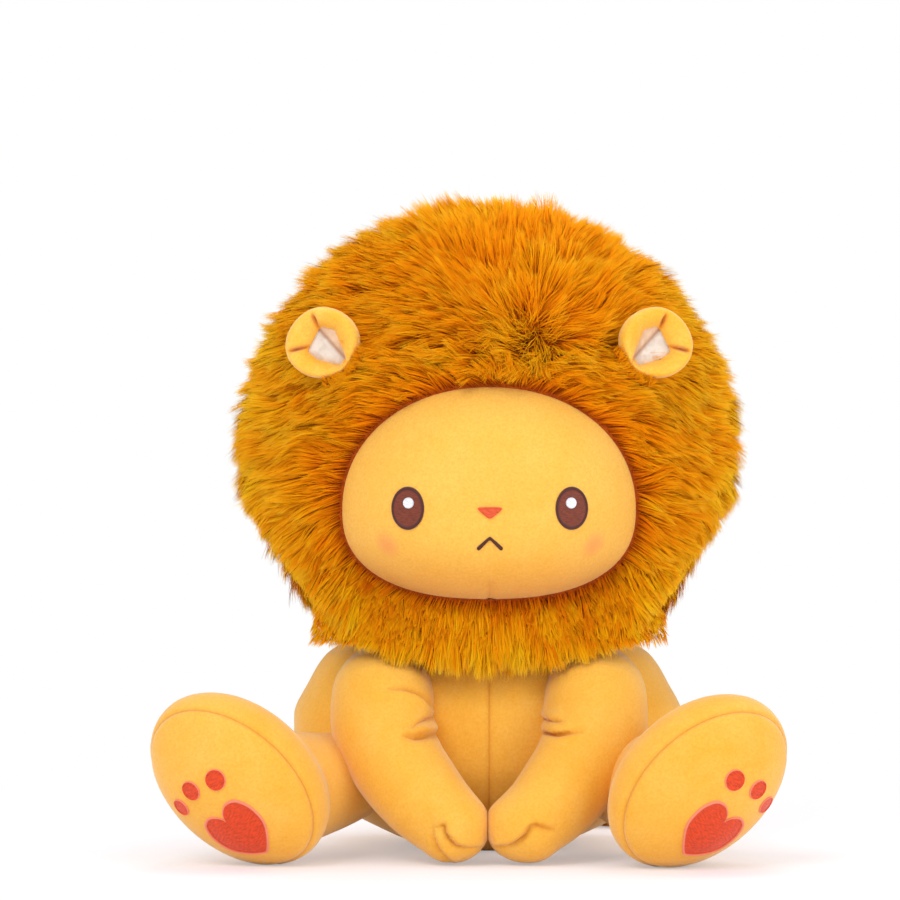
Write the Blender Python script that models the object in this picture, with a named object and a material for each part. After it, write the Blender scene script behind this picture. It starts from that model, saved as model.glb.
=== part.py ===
"""Sitting plush lion: stuffed velour body, long-pile mane, embroidered face and paws.

The toy faces -Y, +Z is up and the origin is the middle of the seat's flat underside.
Left and right are as seen by someone who faces the toy, so left is -X.
"""
import math

import bmesh
import bpy
from mathutils import Matrix, Vector

# Cloth, seams and stitches
SKIN_WALL = 0.0025
SEWN_GAP = 0.0003
STITCH_THICKNESS = 0.0012
CUTTER_OVERRUN = 0.050

# Torso: a pear, with a round neck that the head is sewn over
BODY_HALF_WIDTH = 0.166
BODY_FRONT_DEPTH = 0.108
BODY_BACK_DEPTH = 0.114
SHOULDER_HEIGHT = 0.168
NECK_RADIUS = 0.078
NECK_RISE = 0.0385

# Head: half sizes of the pile's outer face, and the depth of the pile
HEAD_HALF_WIDTH = 0.206
HEAD_HALF_HEIGHT = 0.208
HEAD_FRONT_DEPTH = 0.150
HEAD_BACK_DEPTH = 0.140
HEAD_SINK = 0.055
HEAD_SET_BACK = 0.005
PILE_DEPTH = 0.022
CHIN_PANEL_HEIGHT = 0.024

# Face panel, which lies below the head's middle
FACE_LOWERING = 0.045
FACE_HALF_WIDTH = 0.118
FACE_RISE = 0.099
FACE_DROP = 0.0705
FACE_REACH = 0.155

# Embroidery on the face: heights are measured from the middle of the face
EYE_SPREAD = 0.0646
EYE_LIFT = 0.003
EYE_HALF_WIDTH = 0.0129
EYE_HALF_HEIGHT = 0.0171
HIGHLIGHT_RADIUS = 0.0043
HIGHLIGHT_INSET = 0.0010
HIGHLIGHT_LIFT = 0.0042
NOSE_LOWERING = 0.0006
NOSE_HALF_WIDTH = 0.0095
NOSE_HALF_HEIGHT = 0.0047
MOUTH_LOWERING = 0.0190
MOUTH_HALF_WIDTH = 0.0100
MOUTH_DROP = 0.0090
MOUTH_STROKE = 0.0027

# Ears: where they stand on the head, then their own sizes
EAR_AROUND = math.radians(43)
EAR_UPWARD = math.radians(24.7)
EAR_STAND_OFF = 0.0098
EAR_HALF_LENGTH = 0.031
EAR_HALF_WIDTH = 0.030
EAR_HALF_THICKNESS = 0.011
EAR_POCKET_DEPTH = 0.009
EAR_LINING_WALL = 0.0012
EAR_LEAN = math.radians(42)
EAR_TURN = math.radians(15)
EAR_FLOP = math.radians(12)

# Arms: one shape, mirrored, which hangs from below the head down to the floor
ARM_SPREAD = 0.0855
ARM_SHOULDER_REACH = 0.092
ARM_RADIUS = 0.041
ARM_LOWERING = 0.0005
HAND_REACH = 0.166
HAND_RADIUS = 0.0295
HAND_CLEARANCE = 0.001
ARM_LIFT = math.radians(20)

# Legs: the left one is turned out further than the right one
LEG_HEIGHT = 0.062
LEG_RADIUS = 0.039
ANKLE_SWELL = 0.006
LEFT_FOOT_SPREAD = 0.196
LEFT_FOOT_REACH = 0.170
RIGHT_FOOT_SPREAD = 0.161
RIGHT_FOOT_REACH = 0.190
FOOT_HEIGHT = 0.0677
FOOT_HALF_LENGTH = 0.080
FOOT_HALF_WIDTH = 0.061
FOOT_HALF_DEPTH = 0.045
SOLE_SEAM_OFFSET = 0.015
FOOT_ROLL = math.radians(48)
SOLE_TILT = math.radians(32)
LEFT_SPLAY = (math.radians(-10), math.radians(8))
RIGHT_SPLAY = (math.radians(0), math.radians(18))

# Paw embroidery, on the sole
HEART_HALF_WIDTH = 0.0254
HEART_HEIGHT = 0.051
HEART_LOWERING = 0.024
HEART_SHIFT = 0.010
TOE_PAD_RADIUS = 0.0082

# Tail, which lies on the floor behind and to the right
TAIL_RADIUS = 0.009
TAIL_ROOT_HEIGHT = 0.034
TAIL_STAND_OFF = 0.032
TAIL_SWEEP = 0.085
TAIL_CLEARANCE = 0.0065
TUFT_HALF_LENGTH = 0.034
TUFT_RADIUS = 0.0195
TAIL_SWING = math.radians(12)

# Share of shoulder height, of half width, of front depth and of back depth
BODY_SECTION_SHARES = (
    (0.000, 0.62, 0.60, 0.62),
    (0.060, 0.79, 0.78, 0.79),
    (0.200, 0.94, 0.93, 0.94),
    (0.420, 1.00, 1.00, 1.00),
    (0.630, 0.955, 0.965, 0.95),
    (0.800, 0.880, 0.90, 0.88),
    (0.925, 0.800, 0.84, 0.82),
    (1.000, 0.700, 0.77, 0.76),
)
# Share of the neck's radius and of its rise; the skin is open above the opening's share
NECK_SECTION_SHARES = ((1.00, 0.00), (0.97, 0.27), (0.86, 0.58), (0.62, 0.84), (0.33, 0.97))
NECK_OPENING_SHARE = 0.62

# How far the points round the head crowd towards the bottom of the face
HEAD_CROWDING_SHARE = 0.38
# Bulge of the face's outline above and below its middle, and of its crown
FACE_RISE_POWER_SHARE = 2.1
FACE_DROP_POWER_SHARE = 2.42
FACE_CROWN_POWER_SHARE = 3.2
# Rings from the middle of the face to its seam, on to the widest line, and on to the back
FACE_RING_SHARES = (0.32, 0.56, 0.74, 0.87, 0.95, 1.0)
FRONT_RING_SHARES = (0.30, 0.65, 1.0)
BACK_RING_SHARES = (1.30, 1.60, 1.85)
# Outline of the nose: share of its half width and half height
NOSE_OUTLINE_SHARES = (
    (-0.80, 1.0), (0.80, 1.0), (1.0, 0.62), (0.16, -0.92), (-0.16, -0.92), (-1.0, 0.62),
)

# Triangular opening of the ear, and its joint: shares of its half width and half length
EAR_POCKET_SHARES = (
    (0.46, 0.40), (0.30, -0.42), (-0.05, -0.74), (-0.52, -0.40), (-0.34, 0.14), (0.20, 0.52),
)
EAR_PIVOT_SHARE = -0.5

# From shoulder to hand: share of the way inward, forward and down, and share of the
# way from the arm's radius to the hand's
ARM_STATION_SHARES = (
    (0.10, -1.10, -0.02, 0.10),
    (0.02, -0.45, -0.01, 0.03),
    (0.00, 0.00, 0.00, 0.00),
    (0.00, 0.17, 0.17, -0.05),
    (0.16, 0.43, 0.45, 0.22),
    (0.57, 0.74, 0.77, 0.52),
    (1.00, 1.00, 1.00, 1.00),
)
# Shoulder joint: share of the torso's front depth
ARM_PIVOT_SHARE = 0.65
# Hip joint, in the middle of the leg's round end: shares of the torso's half width and front depth
HIP_SHARES = (0.52, 0.42)
# Share of the way from the hip to the foot
THIGH_SHARE = 0.45
ANKLE_SHARE = 0.82

# Right half of the heart: share of its half width and of its height
HEART_OUTLINE_SHARES = (
    (0.00, 0.30), (0.17, 0.42), (0.45, 0.50), (0.78, 0.45), (0.97, 0.28), (1.00, 0.10),
    (0.93, -0.08), (0.74, -0.23), (0.40, -0.38), (0.00, -0.50),
)
# Toe pads: share of the foot's half width and half length, then of the pad's radius
TOE_PAD_SHARES = ((-0.525, 0.287, 0.80, 0.92), (-0.172, 0.328, 0.96, 1.00), (0.212, 0.225, 1.04, 1.04))

# Tail: share of its sweep, of its reach and of the fall from its root to the floor
TAIL_STATION_SHARES = (
    (0.0, 0.55, 1.10), (0.0, 0.80, 0.90), (0.10, 0.96, 0.50), (0.45, 1.00, 0.10), (1.0, 1.0, 0.0),
)

# Number of sides, rings and outline points
BODY_SEGMENTS = 28
HEAD_SEGMENTS = 28
ARM_SEGMENTS = 14
LEG_SEGMENTS = 14
FOOT_SEGMENTS = 20
FOOT_LEVELS = 10
EAR_SEGMENTS = 20
EAR_LEVELS = 8
TAIL_SEGMENTS = 10
TUFT_SEGMENTS = 14
TUFT_LEVELS = 8
TUBE_END_RINGS = 3
EYE_POINTS = 20
SPOT_POINTS = 12
SMOOTH_ANGLE = math.radians(40)

LEFT, RIGHT = -1, 1
SIDES = {"left": LEFT, "right": RIGHT}
ACROSS, AHEAD, BACK, UP = Vector((1, 0, 0)), Vector((0, -1, 0)), Vector((0, 1, 0)), Vector((0, 0, 1))

# Colour and roughness of each cloth
CLOTHS = {
    "velour": ((0.93, 0.60, 0.16), 0.85),
    "mane_pile": ((0.78, 0.36, 0.03), 0.90),
    "fibre": ((0.93, 0.92, 0.89), 0.95),
    "satin": ((0.86, 0.78, 0.68), 0.45),
    "brown_thread": ((0.16, 0.05, 0.03), 0.60),
    "white_thread": ((0.92, 0.94, 0.96), 0.60),
    "red_thread": ((0.74, 0.10, 0.03), 0.60),
    "coral_thread": ((0.80, 0.22, 0.08), 0.60),
}


# Scene and materials

def clear_scene():
    for thing in list(bpy.data.objects):
        bpy.data.objects.remove(thing, do_unlink=True)


def cloth(name):
    colour, roughness = CLOTHS[name]
    material = bpy.data.materials.get(name) or bpy.data.materials.new(name)
    material.use_nodes = True
    shader = material.node_tree.nodes["Principled BSDF"]
    shader.inputs["Base Color"].default_value = (*colour, 1.0)
    shader.inputs["Roughness"].default_value = roughness
    shader.inputs["Metallic"].default_value = 0.0
    material.diffuse_color = (*colour, 1.0)
    return material


def joint_place(name, place):
    """An empty on a joint's axis, which carries the pieces that move with it."""
    empty = bpy.data.objects.new(name, None)
    bpy.context.collection.objects.link(empty)
    empty.location = place
    return empty


def finish_part(name, body, cloth_name, carrier=None):
    """Name a piece, give it its cloth and hang it on its carrier."""
    body.name = name
    body.data.name = name
    body.data.materials.clear()
    body.data.materials.append(cloth(cloth_name))
    body.data.shade_smooth()
    body.data.set_sharp_from_angle(angle=SMOOTH_ANGLE)
    if carrier:
        body.data.transform(Matrix.Translation(-carrier.location))
        body.parent = carrier
    return body


# Closed bodies from rings of points

def ring_angles(count):
    return [2 * math.pi * step / count for step in range(count)]


def level_ring(radius, height):
    return oval(UP * height, ACROSS, BACK, radius, radius, BODY_SEGMENTS)


def sheet(shape, rings):
    """Join rings of points; a ring of one point is a pole. Gives the first and last ring."""
    levels = [[shape.verts.new(point) for point in ring] for ring in rings]
    for lower, upper in zip(levels, levels[1:]):
        bridge(shape, lower, upper)
    return levels[0], levels[-1]


def bridge(shape, lower, upper):
    count = max(len(lower), len(upper))
    for step in range(count):
        after = (step + 1) % count
        if len(lower) == 1:
            shape.faces.new((lower[0], upper[after], upper[step]))
        elif len(upper) == 1:
            shape.faces.new((lower[step], lower[after], upper[0]))
        else:
            shape.faces.new((lower[step], lower[after], upper[after], upper[step]))


def solid(name, rings):
    """One closed body through rings of points, with flat ends where it has no poles."""
    shape = bmesh.new()
    for end in sheet(shape, rings):
        if len(end) > 1:
            shape.faces.new(end)
    return finish_solid(name, shape)


def shell(name, outer, inner):
    """A wall between two sheets of rings, closed along its rims."""
    shape = bmesh.new()
    outer_ends, inner_ends = sheet(shape, outer), sheet(shape, inner)
    for outer_end, inner_end in zip(outer_ends, inner_ends):
        if len(outer_end) > 1:
            bridge(shape, outer_end, inner_end)
    return finish_solid(name, shape)


def finish_solid(name, shape):
    """Split four-sided faces alike, so that walls let in from each other stay parallel."""
    fours = [face for face in shape.faces if len(face.verts) == 4]
    bmesh.ops.triangulate(shape, faces=fours, quad_method="FIXED")
    bmesh.ops.recalc_face_normals(shape, faces=shape.faces)
    mesh = bpy.data.meshes.new(name)
    shape.to_mesh(mesh)
    shape.free()
    body = bpy.data.objects.new(name, mesh)
    bpy.context.collection.objects.link(body)
    return body


def block(low, high):
    corners = [(low.x, low.y), (high.x, low.y), (high.x, high.y), (low.x, high.y)]
    return solid("block", [[Vector((x, y, z)) for x, y in corners] for z in (low.z, high.z)])


def slab(point, normal, reach):
    """A square slab that starts at a plane and runs along its normal."""
    side = normal.orthogonal().normalized()
    other = normal.cross(side)
    corners = [(side * a + other * b) * reach for a, b in ((1, 1), (-1, 1), (-1, -1), (1, -1))]
    return solid("slab", [[point + normal * level + corner for corner in corners] for level in (0, reach)])


def prism(name, outline, depth):
    """An outline run to a depth on both sides of itself."""
    return solid(name, [[point - depth for point in outline], [point + depth for point in outline]])


def oval(centre, across, up, half_width, half_height, count):
    return [
        centre + across * half_width * math.cos(angle) + up * half_height * math.sin(angle)
        for angle in ring_angles(count)
    ]


def tube(name, stations, segments):
    """Round sections lofted along a path, with domed ends. A station is (point, radius)."""
    points = [point for point, _ in stations]
    befores, afters = points[:1] + points[:-1], points[1:] + points[-1:]
    headings = [(after - before).normalized() for before, after in zip(befores, afters)]
    side = headings[0].cross(UP).normalized()
    sides = []
    for heading in headings:
        side = (side - heading * side.dot(heading)).normalized()
        sides.append(side)

    def section(index, along, radius):
        point, heading = points[index] + headings[index] * along, headings[index]
        return oval(point, sides[index], heading.cross(sides[index]), radius, radius, segments)

    def dome(index, direction):
        radius = stations[index][1]
        rows = [[points[index] + headings[index] * direction * radius]]
        for step in range(1, TUBE_END_RINGS):
            rise = math.pi / 2 * (1 - step / TUBE_END_RINGS)
            rows.append(section(index, direction * radius * math.sin(rise), radius * math.cos(rise)))
        return rows

    middle = [section(index, 0, radius) for index, (_, radius) in enumerate(stations)]
    return solid(name, dome(0, -1) + middle + dome(-1, 1)[::-1])


def egg(name, centre, axes, half_sizes, segments, levels):
    """An ellipsoid whose poles lie on its third axis."""
    pole = axes[2] * half_sizes[2]
    rings = [[centre - pole]]
    for level in range(1, levels):
        rise = math.pi * level / levels - math.pi / 2
        width, height = half_sizes[0] * math.cos(rise), half_sizes[1] * math.cos(rise)
        rings.append(oval(centre + pole * math.sin(rise), axes[0], axes[1], width, height, segments))
    return solid(name, rings + [[centre + pole]])


# Copies, cuts and stitched patches

def copied(body):
    copy = bpy.data.objects.new(body.name + "_copy", body.data.copy())
    bpy.context.collection.objects.link(copy)
    return copy


def grown(body, distance):
    """A copy of a form whose faces are moved outward, or inward if distance is negative."""
    shape = bmesh.new()
    shape.from_mesh(body.data)
    shape.normal_update()
    moves = [vert.normal * distance * vert.calc_shell_factor() for vert in shape.verts]
    for vert, move in zip(shape.verts, moves):
        vert.co += move
    return finish_solid(body.name + "_offset", shape)


def turned(body, pivot, axis, angle):
    """A copy of a form, swung about an axis."""
    swing = Matrix.Translation(pivot) @ Matrix.Rotation(angle, 4, axis) @ Matrix.Translation(-pivot)
    copy = copied(body)
    copy.data.transform(swing)
    return copy


def discard(*bodies):
    for body in bodies:
        bpy.data.objects.remove(body, do_unlink=True)


def carve(body, cutter, operation="DIFFERENCE", keep=False):
    modifier = body.modifiers.new("carve", "BOOLEAN")
    modifier.operation = operation
    modifier.solver = "EXACT"
    modifier.object = cutter
    graph = bpy.context.evaluated_depsgraph_get()
    mesh = bpy.data.meshes.new_from_object(body.evaluated_get(graph))
    body.modifiers.clear()
    body.data = mesh
    if not keep:
        discard(cutter)
    return body


def cut_by_swings(body, form, pivot, axis, angles):
    """Cut a moving piece back from a fixed form, at rest and at each end of its swing."""
    near = grown(form, SEWN_GAP)
    for angle in angles:
        carve(body, turned(near, pivot, axis, -angle))
    discard(near)
    return body


def embroider(name, outline, toward, form):
    """A stitched patch: its outline run through a layer that lies on a form of cloth."""
    patch = prism(name, outline, toward * CUTTER_OVERRUN)
    carve(patch, form(SEWN_GAP + STITCH_THICKNESS), "INTERSECT")
    carve(patch, form(SEWN_GAP))
    return keep_front(patch, toward)


def keep_front(patch, toward):
    """Keep the one loose shell that lies furthest along a direction."""
    shape = bmesh.new()
    shape.from_mesh(patch.data)
    unseen = set(shape.verts)
    shells = []
    while unseen:
        found = {unseen.pop()}
        edge = list(found)
        while edge:
            near = {link.other_vert(vert) for vert in edge for link in vert.link_edges} - found
            found |= near
            unseen -= near
            edge = list(near)
        shells.append(found)
    front = max(shells, key=lambda found: max(vert.co.dot(toward) for vert in found))
    bmesh.ops.delete(shape, geom=[vert for vert in shape.verts if vert not in front], context="VERTS")
    shape.to_mesh(patch.data)
    shape.free()
    return patch


# Torso: a skin that is open at the neck, and its stuffing

def body_form():
    top = SHOULDER_HEIGHT - SEWN_GAP
    rings = []
    for height, width, front, back in BODY_SECTION_SHARES:
        ring = []
        for angle in ring_angles(BODY_SEGMENTS):
            depth = BODY_BACK_DEPTH * back if math.sin(angle) > 0 else BODY_FRONT_DEPTH * front
            x, y = BODY_HALF_WIDTH * width * math.cos(angle), depth * math.sin(angle)
            ring.append(Vector((x, y, top * height)))
        rings.append(ring)
    for radius, rise in NECK_SECTION_SHARES:
        rings.append(level_ring(NECK_RADIUS * radius, top + NECK_RISE * rise))
    return solid("body_form", rings + [[UP * (top + NECK_RISE)]])


def make_torso(torso):
    skin = carve(copied(torso), grown(torso, -SKIN_WALL))
    opening = NECK_RADIUS * NECK_OPENING_SHARE
    heights = (SHOULDER_HEIGHT, SHOULDER_HEIGHT + NECK_RISE + CUTTER_OVERRUN)
    carve(skin, solid("neck_opening", [level_ring(opening, height) for height in heights]))
    finish_part("torso_skin", skin, "velour")
    finish_part("torso_filling", grown(torso, -SKIN_WALL - SEWN_GAP), "fibre")


# Head: stuffing, face cloth and three pieces of pile, all on the same rings

def neck_socket():
    """The room of the shoulders and neck, in which the neck's corners clear when the head turns."""
    turning = 1 / math.cos(math.pi / BODY_SEGMENTS)
    reach = HEAD_HALF_WIDTH + CUTTER_OVERRUN
    rings = [level_ring(reach, height) for height in (SHOULDER_HEIGHT - HEAD_HALF_HEIGHT, SHOULDER_HEIGHT)]
    for radius, rise in NECK_SECTION_SHARES:
        around = (NECK_RADIUS * radius + SEWN_GAP) * turning
        rings.append(level_ring(around, SHOULDER_HEIGHT + NECK_RISE * rise))
    return solid("neck_socket", rings + [[UP * (SHOULDER_HEIGHT + SEWN_GAP + NECK_RISE)]])


def head_height():
    """The height of the head's middle: its lowest pile is pressed down onto the shoulders."""
    return SHOULDER_HEIGHT - HEAD_SINK + HEAD_HALF_HEIGHT


def head_point(direction, growth=0.0):
    """A point on the pile's outer face, or that far outside it."""
    depth = HEAD_FRONT_DEPTH if direction.y < 0 else HEAD_BACK_DEPTH
    return Vector((
        direction.x * (HEAD_HALF_WIDTH + growth),
        direction.y * (depth + growth) + HEAD_SET_BACK,
        direction.z * (HEAD_HALF_HEIGHT + growth) + head_height(),
    ))


def face_middle():
    return Vector((0, -FACE_REACH, head_height() - FACE_LOWERING))


def face_edge_direction(angle):
    """Direction from the head's middle to the seam between face and mane."""
    across, rise = math.cos(angle), math.sin(angle)
    power = FACE_RISE_POWER_SHARE if rise > 0 else FACE_DROP_POWER_SHARE
    height = FACE_RISE if rise > 0 else FACE_DROP
    reach = (abs(across) ** power + abs(rise) ** power) ** (-1 / power)
    x = FACE_HALF_WIDTH * across * reach / (HEAD_HALF_WIDTH - PILE_DEPTH)
    z = (height * rise * reach - FACE_LOWERING) / (HEAD_HALF_HEIGHT - PILE_DEPTH)
    return Vector((x, -math.sqrt(1 - x * x - z * z), z))


def head_angles():
    """Angles round the face, spread over the crown so that they are even round the head."""
    return [angle + HEAD_CROWDING_SHARE * math.cos(angle) for angle in ring_angles(HEAD_SEGMENTS)]


def head_ring(share, growth):
    """Points round the head between the face seam (0), its widest line (1) and the back (2)."""
    ring = []
    for angle in head_angles():
        edge = face_edge_direction(angle)
        widest = Vector((edge.x, 0, edge.z)).normalized()
        turn = edge.angle(widest) * (share - 1) if share <= 1 else math.pi / 2 * (share - 1)
        ring.append(head_point(widest * math.cos(turn) + BACK * math.sin(turn), growth))
    return ring


def face_ring(share):
    """Points round the face on its crown, between its middle (0) and its seam (1)."""
    middle = face_middle()
    ring = []
    for angle in head_angles():
        edge = head_point(face_edge_direction(angle), -PILE_DEPTH)
        point = middle.lerp(edge, share)
        point.y = middle.y + (edge.y - middle.y) * share ** FACE_CROWN_POWER_SHARE
        ring.append(point)
    return ring


def head_back_rings():
    """The rings under the pile, from just behind the face seam to the middle of the back."""
    rings = [head_ring(share, -PILE_DEPTH) for share in FRONT_RING_SHARES + BACK_RING_SHARES]
    return rings + [[head_point(BACK, -PILE_DEPTH)]]


def head_core_form():
    """The stuffed head without its pile: the face's crown and the rounded back."""
    front = [[face_middle()]] + [face_ring(share) for share in FACE_RING_SHARES]
    return solid("head_core_form", front + head_back_rings())


def pile_form():
    """The head as far as its pile reaches."""
    shares = (0.0,) + FRONT_RING_SHARES + BACK_RING_SHARES
    rings = [head_ring(share, 0.0) for share in shares]
    return solid("pile_form", [[head_point(AHEAD)]] + rings + [[head_point(BACK)]])


def face_rings_let_in(core, depth):
    """The rings of the face's crown, moved into the head by a depth."""
    shape = bmesh.new()
    shape.from_mesh(core.data)
    shape.normal_update()
    points = [vert.co - vert.normal * depth * vert.calc_shell_factor() for vert in shape.verts]
    shape.free()
    starts = [1 + level * HEAD_SEGMENTS for level in range(len(FACE_RING_SHARES))]
    return [points[:1]] + [points[start:start + HEAD_SEGMENTS] for start in starts]


def make_head_stuffing(core, socket, head):
    filling = solid("head_filling", face_rings_let_in(core, SKIN_WALL + SEWN_GAP) + head_back_rings())
    carve(filling, socket, keep=True)
    finish_part("head_filling", filling, "fibre", head)


def make_face_panel(core, head):
    panel = shell("face_panel", face_rings_let_in(core, 0), face_rings_let_in(core, SKIN_WALL))
    finish_part("face_panel", panel, "velour", head)


def pile_band(name, shares, poles):
    """A stretch of pile between lines round the head, as deep as the pile less a gap."""
    rings = [[head_ring(share, growth) for share in shares] for growth in (0, SEWN_GAP - PILE_DEPTH)]
    for row, growth in zip(rings, (0, SEWN_GAP - PILE_DEPTH)):
        row += [[head_point(pole, growth)] for pole in poles]
    return shell(name, *rings)


def make_mane(socket, head):
    """Front pile round the face, a strip of it under the chin, and the pile of the back."""
    reach = HEAD_HALF_WIDTH + CUTTER_OVERRUN
    bottom = SHOULDER_HEIGHT - CUTTER_OVERRUN
    chin_top = SHOULDER_HEIGHT + CHIN_PANEL_HEIGHT
    low = Vector((-reach, -reach, bottom))
    front = pile_band("mane_front", (0.0,) + FRONT_RING_SHARES, [])
    carve(front, socket, keep=True)
    chin = copied(front)
    carve(front, block(low, Vector((reach, reach, chin_top + SEWN_GAP))))
    carve(chin, block(low, Vector((reach, reach, chin_top))), "INTERSECT")
    back = pile_band("mane_back", (1.0,) + BACK_RING_SHARES, [BACK])
    carve(back, socket, keep=True)
    carve(back, block(low, Vector((reach, HEAD_SET_BACK + SEWN_GAP, bottom + reach + reach))))
    finish_part("mane_front", front, "mane_pile", head)
    finish_part("mane_chin", chin, "mane_pile", head)
    finish_part("mane_back", back, "mane_pile", head)


def make_eyes(crown, head):
    """Stitched ovals, each with a spot of light let into it."""
    for word, side in SIDES.items():
        middle = face_middle() + Vector((side * EYE_SPREAD, 0, EYE_LIFT))
        outline = oval(middle, ACROSS, UP, EYE_HALF_WIDTH, EYE_HALF_HEIGHT, EYE_POINTS)
        eye = embroider(f"eye_{word}", outline, AHEAD, crown)
        spot = middle + Vector((-side * HIGHLIGHT_INSET, 0, HIGHLIGHT_LIFT))
        around = HIGHLIGHT_RADIUS + SEWN_GAP
        hole = oval(spot, ACROSS, UP, around, around, SPOT_POINTS)
        carve(eye, prism("spot", hole, AHEAD * CUTTER_OVERRUN))
        finish_part(f"eye_{word}", eye, "brown_thread", head)
        mark = oval(spot, ACROSS, UP, HIGHLIGHT_RADIUS, HIGHLIGHT_RADIUS, SPOT_POINTS)
        shine = embroider(f"eye_highlight_{word}", mark, AHEAD, crown)
        finish_part(f"eye_highlight_{word}", shine, "white_thread", head)


def make_nose(crown, head):
    middle = face_middle() - UP * NOSE_LOWERING
    across, rise = ACROSS * NOSE_HALF_WIDTH, UP * NOSE_HALF_HEIGHT
    outline = [middle + across * x + rise * z for x, z in NOSE_OUTLINE_SHARES]
    finish_part("nose", embroider("nose", outline, AHEAD, crown), "coral_thread", head)


def make_mouth(crown, head):
    """Two strokes that fall away from a point below the nose."""
    apex = face_middle() - UP * MOUTH_LOWERING
    right = ACROSS * MOUTH_HALF_WIDTH - UP * MOUTH_DROP
    left = -ACROSS * MOUTH_HALF_WIDTH - UP * MOUTH_DROP
    thick = UP * MOUTH_STROKE / right.normalized().x
    outline = [apex + left, apex, apex + right, apex + right - thick, apex - thick, apex + left - thick]
    finish_part("mouth", embroider("mouth", outline, AHEAD, crown), "brown_thread", head)


# Ears: a folded pouch with a satin lining, set into the pile

def ear_axes(side):
    """Width direction, tip direction and the direction that the opening faces."""
    toward = Vector((side * math.sin(EAR_TURN), -math.cos(EAR_TURN), 0))
    tip = Vector((side * math.sin(EAR_LEAN), 0, math.cos(EAR_LEAN)))
    tip = (tip - toward * tip.dot(toward)).normalized()
    return tip.cross(toward) * side, tip, toward


def ear_middle(side):
    around = ACROSS * side * math.sin(EAR_AROUND) + AHEAD * math.cos(EAR_AROUND)
    return head_point(around * math.cos(EAR_UPWARD) + UP * math.sin(EAR_UPWARD), EAR_STAND_OFF)


def make_ear(word, side, pile, head):
    sideways, tip, toward = ear_axes(side)
    middle = ear_middle(side)
    half_sizes = (EAR_HALF_WIDTH, EAR_HALF_LENGTH, EAR_HALF_THICKNESS)
    ear = egg("ear", middle, (sideways, tip, toward), half_sizes, EAR_SEGMENTS, EAR_LEVELS)
    bottom = middle + toward * (EAR_HALF_THICKNESS - EAR_POCKET_DEPTH)
    pocket = [sideways * EAR_HALF_WIDTH * x + tip * EAR_HALF_LENGTH * z for x, z in EAR_POCKET_SHARES]
    opening = middle + toward * (EAR_HALF_THICKNESS + CUTTER_OVERRUN)
    carve(ear, solid("pocket", [[level + point for point in pocket] for level in (bottom, opening)]))
    inset = 1 - 2 * SEWN_GAP / EAR_HALF_WIDTH
    faces = (bottom + toward * SEWN_GAP, bottom + toward * (SEWN_GAP + EAR_LINING_WALL))
    lining = solid("lining", [[level + point * inset for point in pocket] for level in faces])
    pivot = middle + tip * EAR_HALF_LENGTH * EAR_PIVOT_SHARE
    carrier = joint_place(f"ear_{word}_fold", pivot)
    for body in (ear, lining):
        cut_by_swings(body, pile, pivot, sideways, (0, -EAR_FLOP, EAR_FLOP))
    finish_part(f"ear_{word}", ear, "velour", carrier)
    finish_part(f"ear_lining_{word}", lining, "satin", carrier)
    carrier.parent = head
    carrier.location -= head.location


# Arms: pressed flat under the head, and cut back from the leg and the torso

ARM_SWINGS = (0, ARM_LIFT / 2, ARM_LIFT)


def arm_pivot(side):
    height = SHOULDER_HEIGHT - ARM_RADIUS - ARM_LOWERING
    return Vector((side * ARM_SPREAD, -BODY_FRONT_DEPTH * ARM_PIVOT_SHARE, height))


def arm_form(side, offset=0.0):
    shoulder = Vector((side * ARM_SPREAD, -ARM_SHOULDER_REACH, arm_pivot(side).z))
    beside = HAND_RADIUS + HAND_CLEARANCE
    way = Vector((side * beside, -HAND_REACH, beside)) - shoulder
    stations = []
    for inward, forward, down, taper in ARM_STATION_SHARES:
        point = shoulder + Vector((way.x * inward, way.y * forward, way.z * down))
        stations.append((point, ARM_RADIUS + (HAND_RADIUS - ARM_RADIUS) * taper - offset))
    return tube("arm_form", stations, ARM_SEGMENTS)


def arm_body(side, offset=0.0):
    """An arm let in by an offset, clear of its neighbours through its swing and theirs."""
    body = arm_form(side, offset)
    reach = HEAD_HALF_WIDTH + CUTTER_OVERRUN
    under_head = SHOULDER_HEIGHT - SEWN_GAP - offset
    head = block(Vector((-reach, -reach, under_head)), Vector((reach, reach, under_head + reach)))
    for angle in ARM_SWINGS:
        carve(body, turned(head, arm_pivot(side), -ACROSS, -angle))
    corners = LEG_RADIUS / math.cos(math.pi / LEG_SEGMENTS) - LEG_RADIUS
    leg = leg_form(side, -SEWN_GAP - corners - offset)
    carve(body, turned(leg, hip_place(side), UP * side, min(leg_swings(side))))
    discard(head, leg)
    return body


def make_arm(word, side, torso):
    skin = carve(arm_body(side), arm_body(side, SKIN_WALL))
    stuffing = arm_body(side, SKIN_WALL + SEWN_GAP)
    pivot = arm_pivot(side)
    for body in (skin, stuffing):
        cut_by_swings(body, torso, pivot, -ACROSS, ARM_SWINGS)
    carrier = joint_place(f"shoulder_{word}", pivot)
    finish_part(f"arm_skin_{word}", skin, "velour", carrier)
    finish_part(f"arm_filling_{word}", stuffing, "fibre", carrier)


# Legs: thigh and foot in one skin, with the sole sewn on as its own panel

def hip_place(side):
    spread, reach = HIP_SHARES
    return Vector((side * BODY_HALF_WIDTH * spread, -BODY_FRONT_DEPTH * reach, LEG_HEIGHT))


def leg_swings(side):
    inward, outward = LEFT_SPLAY if side == LEFT else RIGHT_SPLAY
    return (inward, 0, outward) if inward else (0, outward / 2, outward)


def foot_place(side):
    if side == LEFT:
        return Vector((-LEFT_FOOT_SPREAD, -LEFT_FOOT_REACH, FOOT_HEIGHT))
    return Vector((RIGHT_FOOT_SPREAD, -RIGHT_FOOT_REACH, FOOT_HEIGHT))


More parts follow.
